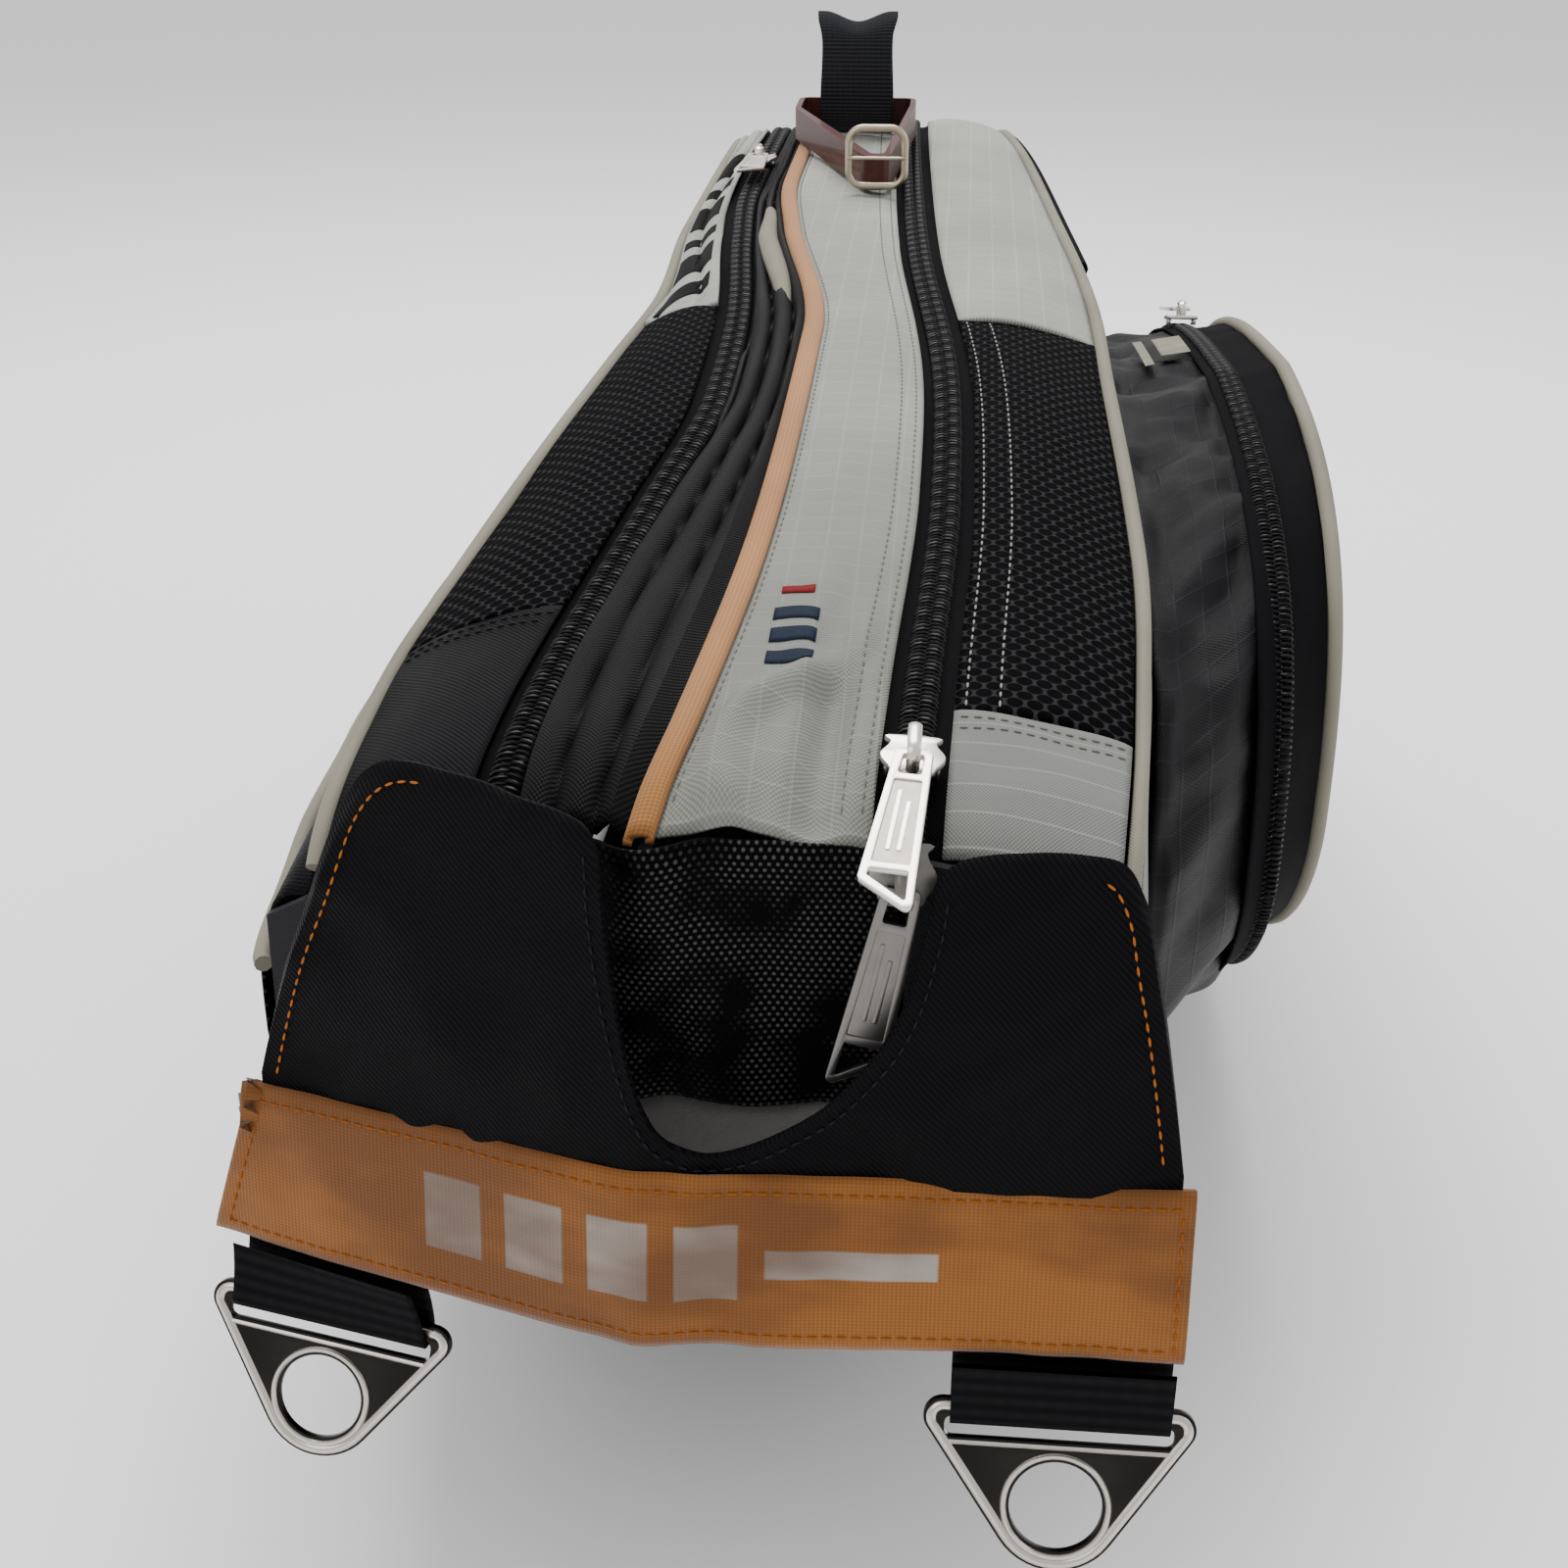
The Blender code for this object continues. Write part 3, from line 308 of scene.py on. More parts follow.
def fine_mesh(name):
    """Fine knit whose thread crossings catch the light."""
    paint = Paint(name, 0.6, Specular_IOR_Level=0.04)
    u, v = paint.flat()
    speck = 1 - holes(u, v, 1.9 * MM, 2.9 * MM).over(0.23, 0.07)
    change = paint.noise(70.0, 2.0).over(0.47, 0.12)
    return paint.finish(paint.blend(speck * change, (0.0006, 0.0006, 0.0008),
                                    (0.060, 0.060, 0.064)), speck, 0.3 * MM, 0.8)


def metal(name, colour, roughness, stain=0.15):
    paint = Paint(name, roughness, 1.0)
    wear = paint.noise(260.0, 6.0)
    return paint.finish(paint.blend(wear * stain, colour, dim(colour, 0.5)), wear, 0.03 * MM, 0.4,
                        wear * 0.14 + roughness)


def speckled(name, dark, light, grain=500.0, roughness=0.7, gleam=0.1):
    """A worn print, or plain nylon: two tones in fine specks."""
    paint = Paint(name, roughness, Specular_IOR_Level=gleam)
    return paint.finish(paint.blend(paint.noise(grain), dark, light))


def thread_paint(name, colour):
    paint = Paint(name, 0.6, Specular_IOR_Level=0.1)
    twist = paint.noise(900.0, 2.0)
    return paint.finish(paint.blend(twist * 0.6, colour, dim(colour, 0.55)), twist, 0.1 * MM, 0.5)


def ribbed(name, colour, rib):
    """Webbing with ribs across it."""
    paint = Paint(name, 0.75, Specular_IOR_Level=0.06)
    u, v = paint.flat()
    ridge = v.wave(rib) * 0.75 + u.wave(rib * 1.6) * v.wave(rib) * 0.25
    fleck = paint.noise(340.0)
    return paint.finish(paint.blend(ridge * 0.8 + fleck * 0.2, dim(colour, 0.35),
                                    dim(colour, 1.35)), ridge, 0.5 * MM, 0.8)


def grosgrain(name, colour, shade, dirt, bars=()):
    """Orange woven band: fine ribs, uneven soiling, and an optional row of pale printed bars."""
    paint = Paint(name, 0.72, Sheen_Weight=0.2)
    u, v = paint.flat()
    weave = u.wave(0.95 * MM) * 0.6 + v.wave(0.8 * MM) * 0.4
    base = paint.blend(weave, shade, colour)
    place = paint.add("ShaderNodeMapping", None, {"Vector": paint.where(),
                                                 "Scale": Vector((1.0, 1.0, 2.2))})
    patches = paint.noise(17.0, 3.0, place).over(0.50, 0.13)
    soft = 0.3 * MM
    for left, right, low, high in bars:
        printed = u.over(left, soft) * (1 - u.over(right, soft))
        printed = printed * v.over(low, soft) * (1 - v.over(high, soft))
        base = paint.blend(printed, base, (0.33, 0.29, 0.255))
    return paint.finish(paint.blend(patches * dirt, base, dim(shade, 0.42)), weave, 0.2 * MM, 0.6)


def leather(name, colour):
    paint = Paint(name, 0.45, Coat_Weight=0.15)
    grain = paint.add("ShaderNodeTexVoronoi", None, {"Vector": paint.where(), "Scale": 700.0})
    tone = paint.noise(60.0, 4.0)
    return paint.finish(paint.blend(tone, dim(colour, 0.6), colour), grain + tone, 0.12 * MM, 0.5)


# The white cloth darkens toward the narrow end: painted shade and grime.
WHITE = canvas("white_ripstop_cloth", (0.430, 0.433, 0.395), (0.205, 0.207, 0.186), 1.2 * MM,
               rip=9.0 * MM, rip_bright=0.30, near_end_shade_and_grime=0.55)
PATCH = canvas("white_ripstop_patch", (0.225, 0.228, 0.214), (0.150, 0.153, 0.143), 0.9 * MM,
               rip=7.5 * MM, dirt=0.16, rip_bright=0.8, one_way=True)
BLACK = canvas("black_twill_cloth", (0.0066, 0.0066, 0.0084), (0.0012, 0.0012, 0.0016), 1.6 * MM,
               twill=True, depth=0.45 * MM, roughness=0.55, gleam=0.05)
BLACK_RIP = canvas("black_ripstop_cloth", (0.0100, 0.0100, 0.0118), (0.0030, 0.0030, 0.0038),
                   0.9 * MM, rip=9.0 * MM, roughness=0.46, rip_bright=0.7, gleam=0.09)
FOLDS = canvas("charcoal_twill_cloth", (0.0060, 0.0060, 0.0072), (0.0012, 0.0012, 0.0016),
               1.2 * MM, depth=0.35 * MM, roughness=0.60, gleam=0.08)
TAPE = canvas("zip_tape_cloth", (0.0065, 0.0065, 0.0078), (0.0020, 0.0020, 0.0026), 0.9 * MM,
              twill=True, dirt=0.15, roughness=0.8, gleam=0.04)
CREAM = canvas("cream_piping_cloth", (0.270, 0.255, 0.202), (0.180, 0.168, 0.128), 0.9 * MM,
               depth=0.12 * MM, dirt=0.4, roughness=0.65)
TRIM = canvas("grey_white_trim_cloth", (0.22, 0.22, 0.21), (0.14, 0.14, 0.135), 0.8 * MM)
HONEYCOMB = spacer_mesh("black_spacer_mesh", 4.8 * MM, 6.8 * MM, 0.40, (0.0170, 0.0170, 0.0195),
                        (0.0002, 0.0002, 0.0003), gloss=0.7, depth=0.5 * MM)
DIAMOND = spacer_mesh("diamond_mesh", 4.2 * MM, 5.2 * MM, 0.39, (0.0200, 0.0220, 0.0240),
                      (0.0006, 0.0006, 0.0008), gloss=0.55, depth=0.9 * MM)
FINE_MESH = fine_mesh("black_fine_mesh")
COIL = speckled("nylon_coil", (0.003, 0.003, 0.0035), (0.010, 0.010, 0.011), 300.0, 0.36, 0.14)
NICKEL = metal("polished_nickel", (0.80, 0.76, 0.70), 0.22)
PLATE = metal("sandblasted_nickel", (0.50, 0.46, 0.41), 0.45, 0.3)
GUNMETAL = metal("dark_nickel", (0.20, 0.19, 0.18), 0.28, 0.35)
# Painted shade: the ring plate is the same nickel as its rims (RIM_METAL), darkened to near black
# for the shade on its flat faces.
SHADED_RING_NICKEL = metal("ring_nickel", (0.024, 0.022, 0.021), 0.26, 0.4)
RIM_METAL = metal("ring_rim_nickel", (0.62, 0.58, 0.53), 0.18, 0.3)
BRASS = metal("pale_gold", (0.46, 0.40, 0.30), 0.28)
ORANGE_THREAD = thread_paint("orange_thread", (0.42, 0.12, 0.016))
BAND_THREAD = thread_paint("band_thread", (0.30, 0.085, 0.010))
WHITE_THREAD = thread_paint("white_thread", (0.28, 0.28, 0.265))
GREY_THREAD = thread_paint("grey_thread", (0.16, 0.157, 0.14))
DARK_THREAD = thread_paint("dark_thread", (0.012, 0.012, 0.014))
WEBBING = ribbed("black_webbing", (0.0060, 0.0060, 0.0072), 2.9 * MM)
LOOP_CLOTH = ribbed("black_loop_webbing", (0.0230, 0.0235, 0.0270), 1.6 * MM)
PIPING_CLOTH = grosgrain("orange_piping_cloth", (0.43, 0.195, 0.060), (0.29, 0.115, 0.030), 0.20)
LEATHER = leather("maroon_leather", (0.070, 0.016, 0.012))
NAVY = speckled("navy_print", (0.004, 0.008, 0.020), (0.008, 0.015, 0.034))
RED = speckled("red_print", (0.12, 0.005, 0.007), (0.19, 0.010, 0.012))
BOARD = canvas("pressed_board", (0.32, 0.27, 0.21), (0.22, 0.18, 0.14), 1.4 * MM)
OFF_WHITE = speckled("worn_cream_print", (0.14, 0.13, 0.10), (0.30, 0.285, 0.23), 120.0)


# ---- mesh helpers
def link(name, data):
    """A new object in the scene."""
    made = bpy.data.objects.new(name, data)
    bpy.context.scene.collection.objects.link(made)
    return made


def piece(name, work, paint, body, replaced=(), thick=0.0, angle=40.0):
    """Makes an object of a bmesh, with its finish, its body and the solids it stands for.
    A soft piece has a fill."""
    mesh = bpy.data.meshes.new(name)
    work.to_mesh(mesh)
    work.free()
    mesh.materials.append(paint)
    mesh.shade_smooth()
    mesh.set_sharp_from_angle(angle=radians(angle))
    made = link(name, mesh)
    if thick:
        wall = made.modifiers.new("wall", "SOLIDIFY")
        wall.thickness, wall.offset = thick, -1.0
        wall.use_even_offset = False
    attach(made, body)
    if replaced:
        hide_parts(*replaced)


def surface(place, across, length, out=None, closed=False):
    """A grid laid on a surface. place(u, v) gives a point and its cloth coordinates in metres;
    a closed surface joins its long edges and has its ends filled."""
    work = bmesh.new()
    cloth = work.loops.layers.uv.new("UVMap")
    bmesh.ops.create_grid(work, x_segments=across, y_segments=length, size=0.5)
    spots = {vert: place(vert.co.x + 0.5, vert.co.y + 0.5) for vert in work.verts}
    for face in work.faces:
        for loop in face.loops:
            loop[cloth].uv = spots[loop.vert][1]
    for vert, (point, _) in spots.items():
        vert.co = point
    if closed:
        joined(work)
        bmesh.ops.holes_fill(work, edges=[e for e in work.edges if e.is_boundary])
        bmesh.ops.recalc_face_normals(work, faces=work.faces)
    elif out is not None:
        work.normal_update()
        facing = sum(face.normal.dot(out(face.calc_center_median()) if callable(out) else out)
                     * face.calc_area() for face in work.faces)
        if facing < 0:
            bmesh.ops.reverse_faces(work, faces=work.faces)
    return work


def lengths(route):
    """Distance of each point of a route from its start."""
    run = [0.0]
    for a, b in zip(route, route[1:]):
        run.append(run[-1] + (b - a).length)
    return run


def joined(work, gap=0.01 * MM):
    """Joins the points that meet."""
    bmesh.ops.remove_doubles(work, verts=work.verts, dist=gap)
    return work


def tight(work, gap=0.01 * MM):
    """Joins the points that meet, and turns the faces outward."""
    bmesh.ops.recalc_face_normals(joined(work, gap), faces=work.faces)
    return work


def rope(route, radius, sides=10, lift=UP, flatten=1.0):
    """A closed round or flattened tube along a route of points."""
    run, last = lengths(route), len(route) - 1

    def place(u, v):
        i = min(int(round(v * last)), last)
        ahead = (route[min(i + 1, last)] - route[max(i - 1, 0)]).normalized()
        side = ahead.cross(lift).normalized()
        over = side.cross(ahead)
        turn = 2 * pi * u
        r = radius(v) if callable(radius) else radius
        point = route[i] + side * cos(turn) * r + over * sin(turn) * r * flatten
        return point, (u * 2 * pi * r, run[i])

    return surface(place, sides, last, closed=True)


def along_bag(start, stop, count):
    return [start + (stop - start) * i / count for i in range(count + 1)]


def curve_point(p, f):
    """A point between p[1] and p[2] of the smooth curve through four points."""
    return ((p[1] * 2 + (p[2] - p[0]) * f + (p[0] * 2 - p[1] * 5 + p[2] * 4 - p[3]) * f * f
             + (p[1] * 3 - p[0] - p[2] * 3 + p[3]) * f ** 3) * 0.5)


def smooth_path(points, t):
    """A point of a smooth curve through a few points; t runs from 0 to 1."""
    spans = len(points) - 1
    at = min(int(t * spans), spans - 1)
    return curve_point([Vector(points[min(max(at + k, 0), spans)]) for k in (-1, 0, 1, 2)],
                       t * spans - at)


def panel(name, left, right, start, stop, relief, paint, body, replaced, across=24,
          step=3.0 * MM):
    """A padded panel of the bag's top between two seams, with its own relief."""
    def place(u, v):
        y = mix(start, stop, v)
        x = mix(left(y), right(y), u)
        return swept(x, y, skin(x, y) + relief(u, y, x)), (x, y)

    piece(name, surface(place, across, ceil((stop - start) / step), UP), paint, body,
          (replaced,), CLOTH)


def at_seam(profile, offset=0.0):
    return lambda y: along(profile, y) + offset


CENTRE_LEFT, CENTRE_RIGHT = at_seam(PIPING_X, 2.9 * MM), at_seam(ZIP_R_X, -7.4 * MM)
RIGHT_IN, RIGHT_OUT = at_seam(ZIP_R_X, 8.2 * MM), at_seam(EDGE_R_X, 0.2 * MM - PIPE_R)
LEFT_IN, LEFT_OUT = at_seam(ZIP_L_X, -8.2 * MM), at_seam(EDGE_L_X, PIPE_R - 0.2 * MM)


class Stitches:
    """Rows of stitches of one thread, on one body."""

    def __init__(self, name, paint, body, radius):
        self.name, self.paint, self.body, self.radius = name, paint, body, radius
        self.work = bmesh.new()

    def row(self, route, stitch=2.6 * MM, gap=1.0 * MM):
        """Stitches along a route of points that lies on the cloth."""
        run = lengths(route)

        def spot(distance):
            at = max(i for i in range(len(run) - 1) if run[i] <= distance)
            part = (distance - run[at]) / max(run[at + 1] - run[at], 1e-9)
            return route[at].lerp(route[at + 1], part)

        reach = gap / 2
        while reach + stitch < run[-1]:
            a, b = spot(reach), spot(reach + stitch)
            turn = (b - a).to_track_quat("Z", "Y").to_matrix().to_4x4()
            size = Matrix.Diagonal((self.radius, self.radius, (b - a).length / 2, 1.0))
            bmesh.ops.create_icosphere(self.work, subdivisions=1, radius=1.0,
                                       matrix=Matrix.Translation((a + b) / 2) @ turn @ size)
            reach += stitch + gap

    def done(self):
        piece(self.name, self.work, self.paint, self.body)


# ---- relief of each top panel
def crown(u, height, power=0.6):
    return height * max(sin(pi * min(max(u, 0.0), 1.0)), 0.0) ** power


def centre_relief(u, y, x):
    """White canvas: taut along the bag, bunched where it is gathered at the narrow end."""
    near = ease((-0.235 - y) / 0.10)
    far = ease((y - 0.02) / 0.08)
    puff = crown(u, mix(1.8, 0.8, far) * MM) - 0.6 * MM
    puff += 0.8 * MM * rough(x, y, 0.020, 0.060, 3.0) * (1 - 0.5 * near)
    valley = -5.6 * MM * bump_at(u, 0.72 - 0.9 * (y + 0.362), 0.20) * near
    ridge = 4.4 * MM * bump_at(u, 0.45 + 0.3 * sin(y * 60), 0.22) * near
    dents = 1.2 * MM * rough(x, y, 0.010, 0.022, 8.0) * near
    dents += 0.5 * MM * rough(x, y, 0.007, 0.015, 9.0)
    ends = ease((y - NEAR_Y) / 0.006)
    return puff + (valley + ridge + dents) * min(sin(pi * u) * 2, 1) * mix(0.35, 1.0, ends)


def fold_relief(u, y, x):
    """Dark lining gathered into lengthwise folds."""
    lean = u + 0.10 * sin(y * 19 + 0.8)
    ridges = abs(sin(pi * (2.6 * lean + 0.15))) ** 0.55
    height = mix(4.2, 2.6, ease((y - 0.05) / 0.1)) * MM
    clear = mix(1.0, min(1.0, 3 * u * u), ease((y - 0.10) / 0.05))
    return height * ridges * clear * min(1.0, 6 * (1 - u)) - 2.6 * MM * (1 - u) * 0.6 \
        + 0.7 * MM * rough(x, y, 0.008, 0.04, 5.0)


def right_mesh_relief(u, y, x):
    ends = ease((y + 0.318) / 0.004) * ease((-0.050 - y) / 0.012)
    return crown(u, 2.6 * MM, 0.8) * mix(0.4, 1.0, ends) - 0.4 * MM \
        + 0.7 * MM * rough(x, y, 0.03, 0.06, 2.0)


def padding(height, power, drop, uneven, wide, long, seed):
    """A plain padded relief: a crown between its seams, a little uneven; heights in mm."""
    def relief(u, y, x):
        return crown(u, height * MM, power) - drop * MM \
            + uneven * MM * rough(x, y, wide, long, seed)
    return relief


patch_relief = padding(1.6, 0.6, 0.2, 0.9, 0.018, 0.012, 4.0)
shoulder_relief = padding(3.0, 0.7, 0.4, 1.1, 0.03, 0.08, 6.0)
left_mesh_relief = padding(2.8, 0.8, 0.6, 0.9, 0.02, 0.05, 7.0)
left_patch_relief = padding(1.8, 0.6, 0.2, 1.0, 0.016, 0.030, 11.0)


def left_shoulder_relief(u, y, x):
    pleats = abs(sin(pi * (1.6 * u + 0.4 * sin(y * 14)))) ** 0.6
    return 3.2 * MM * pleats - 1.2 * MM + 0.8 * MM * rough(x, y, 0.012, 0.05, 12.0)


def on_top(x, y, lift):
    return swept(x, y, skin(x, y) + lift)


def on_panel(left, right, relief, x, y, lift):
    """A point on a top panel with its relief, lifted a little."""
    return on_top(x, y, relief((x - left(y)) / (right(y) - left(y)), y, x) + lift)


def build_centre():
    left, right, middle = CENTRE_LEFT, CENTRE_RIGHT, at_seam(PIPING_X)
    panel("white_centre_panel", left, right, NEAR_Y, FAR_Y, centre_relief, WHITE,
          "bag_core", "centre_top_panel", across=34, step=2.5 * MM)
    panel("lining_folds", at_seam(ZIP_L_X, 5.6 * MM), at_seam(PIPING_X, -2.7 * MM), NEAR_Y, FAR_Y,
          fold_relief, FOLDS, "bag_core", "left_fold_panel", across=30)
    seams = Stitches("canvas_stitches", GREY_THREAD, "bag_core", 0.28 * MM)
    for edge, inset in ((right, -2.4 * MM), (right, -2.4 * 2.9 * MM), (left, 2.0 * MM)):
        seams.row([on_panel(left, right, centre_relief, edge(y) + inset, y, 0.15 * MM)
                   for y in along_bag(NEAR_Y + 0.006, FAR_Y - 0.006, 200)])
    seams.done()

    def across(u, v):
        y = mix(NEAR_Y - 1.5 * MM, FAR_Y, v)
        x = middle(y) - 3.4 * MM * cos(pi * u)
        return on_top(x, y, 2.6 * MM * sin(pi * u) ** 0.55 - 0.4 * MM), (u * 8.5 * MM, y)

    fold = [on_top(middle(y) - (10.5 - 2.5 * ease((y - 0.03) / 0.05)) * MM, y, 1.2 * MM)
            for y in along_bag(-0.055, 0.092, 80)]
    piece("cream_lining_fold", rope(fold, lambda v: (0.6 + 3.6 * sin(pi * v) ** 0.4) * MM, 12,
                                    flatten=0.8), CREAM, "bag_core")
    piece("orange_flat_piping", surface(across, 14, 260, UP), PIPING_CLOTH,
          "bag_core", ("orange_piping",), 2.0 * MM)


# ---- zips
def from_curve(curve):
    """The solid that a curve's own thickness makes, as a bmesh."""
    guide = link(curve.name + "_guide", curve)
    mesh = bpy.data.meshes.new_from_object(guide.evaluated_get(
        bpy.context.evaluated_depsgraph_get()))
    bpy.data.objects.remove(guide)
    work = bmesh.new()
    work.from_mesh(mesh)
    bpy.data.meshes.remove(mesh)
    return work


def coil(name, frames, sign, body, replaced, width=4.3 * MM):
    """Half of a closed coil: one thread wound round and round along the tape's edge.
    Each frame is a point of the zip's middle line, with its forward, side and up."""
    height, pitch, steps = 2.6 * MM, 1.9 * MM, 9
    curve = bpy.data.curves.new(name, "CURVE")
    curve.dimensions, curve.bevel_depth, curve.bevel_resolution = "3D", 0.5 * MM, 1
    run = lengths([frame[0] for frame in frames])
    count = int(run[-1] / pitch * steps)
    spline = curve.splines.new("POLY")
    spline.points.add(count - 1)
    at = 0
    for i in range(count):
        reach = i / steps * pitch
        while at < len(run) - 2 and run[at + 1] < reach:
            at += 1
        part = (reach - run[at]) / (run[at + 1] - run[at])
        point = frames[at][0].lerp(frames[at + 1][0], min(part, 1.0))
        _, ahead, side, up = frames[at]
        turn = 2 * pi * i / steps + (0.0 if sign > 0 else pi)
        out = sign * (width / 2 - 0.25 * MM + width / 2 * cos(turn))
        lean = ahead * (0.35 * pitch * sin(turn * 0.5) ** 2)
        spline.points[i].co = (*(point + side * out + up * (height / 2 * sin(turn)) + lean), 1.0)
    work = from_curve(curve)
    bmesh.ops.holes_fill(work, edges=[e for e in work.edges if e.is_boundary])
    piece(name, work, COIL, body, replaced)


def build_long_zip(side, profile, shell):
    sign = 1 if side == "right" else -1
    middle = at_seam(profile)
    for part, way, body in (("inner", -sign, "bag_core"), ("outer", sign, shell)):
        def place(u, v):
            y = mix(NEAR_Y, FAR_Y, v)
            x = middle(y) + way * mix(0.25, 10.0, u) * MM
            roll = 1.6 * MM * ease((u - 0.55) / 0.45)
            return on_top(x, y, roll - 0.3 * MM - TAPE_SINK), (x, y)
        piece(f"{side}_{part}_tape", surface(place, 8, 240, UP), TAPE, body,
              (f"{side}_tape_{part}",), 0.8 * MM)
    points = [on_top(middle(y), y, -COIL_SINK)
              for y in along_bag(NEAR_Y + END_GAP, FAR_Y - END_GAP, 240)]
    frames = []
    for before, point, after in zip(points[:1] + points, points, points[1:] + points[-1:]):
        ahead = (after - before).normalized()
        beside = ahead.cross(UP).normalized()
        frames.append((point, ahead, beside, beside.cross(ahead)))
    coil(f"{side}_inner_coil", frames, -sign, "bag_core", (f"{side}_teeth_inner",))
    coil(f"{side}_outer_coil", frames, sign, shell, (f"{side}_teeth_outer",))


# ---- right side
def wall_points(rails, edge, y, foot_x, sign):
    """Side wall from its shoulder to its foot, as (x, z) pairs."""
    x = along(edge, y)
    points = [(x + 2.2 * MM * sign, skin(x, y) - 2 * PIPE_R - 1.2 * MM)]
    points += [rail(r, y) for r in rails]
    return points + [(foot_x, along(UNDER, y) + 4.5 * MM)]


def side_wall(name, rails, edge, foot_x, sign, paint, body, replaced, seed):
    """A side of the bag, from its shoulder to its foot, slightly uneven."""
    def place(u, v):
        y = mix(NEAR_Y, FAR_Y, v)
        point = smooth_path(wall_points(rails, edge, y, foot_x, sign), u)
        out = 1.5 * MM * rough(u, y, 0.25, 0.06, seed) * sign
        return swept(point.x + out, y, point.y), (point.y, y)
    piece(name, surface(place, 40, 180, Vector((sign, 0, 0))), paint, body, (replaced,),
          1.8 * MM)


def wall_x(points, z):
    """x of a side wall at a height."""
    best = points[0][0]
    for a, b in zip(points, points[1:]):
        if b[1] <= z <= a[1]:
            best = mix(a[0], b[0], (a[1] - z) / (a[1] - b[1]))
    return best


def shell_seam(name, shell, edge, radius, replaced):
    """The cream cord along a shell's outer edge."""
    route = [on_top(along(edge, y), y, -CORD_SINK)
             for y in along_bag(NEAR_Y + END_GAP, FAR_Y - END_GAP, 240)]
    piece(name, rope(route, radius), CREAM, shell, (replaced,))


def patch_hem(name, paint, shell, radius, left, right, relief, levels, stitch, gap):
    """Rows of stitches across a patch, where it meets the mesh."""
    hem = Stitches(name, paint, shell, radius)
    for y in levels:
        hem.row([on_panel(left, right, relief, x, y, 0.2 * MM)
                 for x in along_bag(left(y) + 1 * MM, right(y) - 1 * MM, 24)], stitch, gap)
    hem.done()


def build_right_shell():
    shell, inner, outer = "right_shell", RIGHT_IN, RIGHT_OUT
    panel("right_white_patch", inner, outer, NEAR_Y, -0.3175, patch_relief, PATCH,
          shell, "right_patch", step=2.0 * MM)
    panel("right_spacer_mesh", inner, outer, -0.3182, -0.0495, right_mesh_relief, HONEYCOMB,
          shell, "right_mesh_gusset")
    panel("right_white_shoulder", inner, outer, -0.0500, FAR_Y, shoulder_relief, WHITE,
          shell, "right_shoulder_panel")
    shell_seam("right_cream_cord", shell, EDGE_R_X,
               lambda v: mix(1.7 * MM, PIPE_R, ease(v / 0.3)), "right_cream_piping")
    route = [on_top(along(EDGE_R_X, y) + 3.0 * MM, y, -3.6 * MM)
             for y in along_bag(0.060, 0.300, 70)]
    piece("right_black_binding", rope(route, 3.0 * MM), TAPE, shell)
    rows = Stitches("right_mesh_stitches", WHITE_THREAD, shell, 0.36 * MM)
    for inset in (2.6 * MM, 10.5 * MM):
        rows.row([on_panel(inner, outer, right_mesh_relief, inner(y) + inset, y, 0.2 * MM)
                  for y in along_bag(-0.316, -0.052, 120)], 2.6 * MM, 1.5 * MM)
    rows.done()
    patch_hem("right_patch_stitches", GREY_THREAD, shell, 0.28 * MM, inner, outer, patch_relief,
              (-0.3205, -0.3245), 2.2 * MM, 0.9 * MM)
    side_wall("right_wall_cloth", WALL_R, EDGE_R_X, FOOT_R_X, 1, WHITE, shell,
              "right_side_wall", 21.0)


# ---- left side
def build_left_shell():
    shell, inner, outer = "left_shell", LEFT_IN, LEFT_OUT
    panel("left_black_patch", outer, inner, NEAR_Y, -0.2685, left_patch_relief, BLACK,
          shell, "left_patch", step=2.5 * MM)
    panel("left_spacer_mesh", outer, inner, -0.2692, -0.0395, left_mesh_relief, HONEYCOMB,
          shell, "left_mesh_gusset")
    panel("left_white_shoulder", outer, inner, -0.0400, FAR_Y, left_shoulder_relief, WHITE,
          shell, "left_shoulder_panel")
    shell_seam("left_cream_cord", shell, EDGE_L_X, PIPE_R, "left_cream_piping")
    patch_hem("left_hem_stitches", DARK_THREAD, shell, 0.34 * MM, outer, inner,
              left_patch_relief, (-0.2725, -0.2765), 2.4 * MM, 1.0 * MM)
    side_wall("left_wall_cloth", WALL_L, EDGE_L_X, FOOT_L_X, -1, BLACK, shell,
              "left_side_wall", 31.0)


# ---- narrow end
END_LEFT, END_RIGHT = along(ZIP_L_X, NEAR_Y) + 0.8 * MM, along(ZIP_R_X, NEAR_Y) - 0.8 * MM


def end_cloth(name, low, high, paint, replaced, folds):
    """A cloth of the narrow end between the zips, from low to high."""
    def place(u, v):
        x = mix(END_LEFT, END_RIGHT, u)
        z = mix(low, high(x), v)
        back = 2.0 * MM * ease((v - 0.93) / 0.07)
        return swept(x, NEAR_Y - 2.8 * MM - folds(u, v, x, z) + back, z), (x, z)
    piece(name, surface(place, 60, 48, TO_VIEWER), paint, "bag_core", (replaced,),
          1.2 * MM)


def end_folds(u, v, x, z):
    """The mesh hangs in soft folds that run down from its upper corners."""
    edge = min(sin(pi * u) * 3, 1.0)
    ridge = (3.6 * MM * bump_at(u, 0.62 - 0.25 * v, 0.20)
             + 3.0 * MM * bump_at(u, 0.30 + 0.1 * v, 0.16))
    return edge * (ridge + 1.2 * MM * rough(x, z, 0.012, 0.03, 41.0)) + 0.4 * MM


def build_near_end():
    end_cloth("end_mesh", TRIM_TOP_Z, lambda x: skin(x, NEAR_Y) + 0.2 * MM
              + 3.4 * MM * (1 - ease((x - END_LEFT) / 0.014)), FINE_MESH,
              "near_end_panel", end_folds)
    end_cloth("end_trim", along(UNDER, NEAR_Y) + 0.8 * MM, lambda x: TRIM_TOP_Z - 0.4 * MM, TRIM,
              "near_end_trim",
              lambda u, v, x, z: 0.3 * MM + 0.6 * MM * rough(x, z, 0.02, 0.03, 44.0))


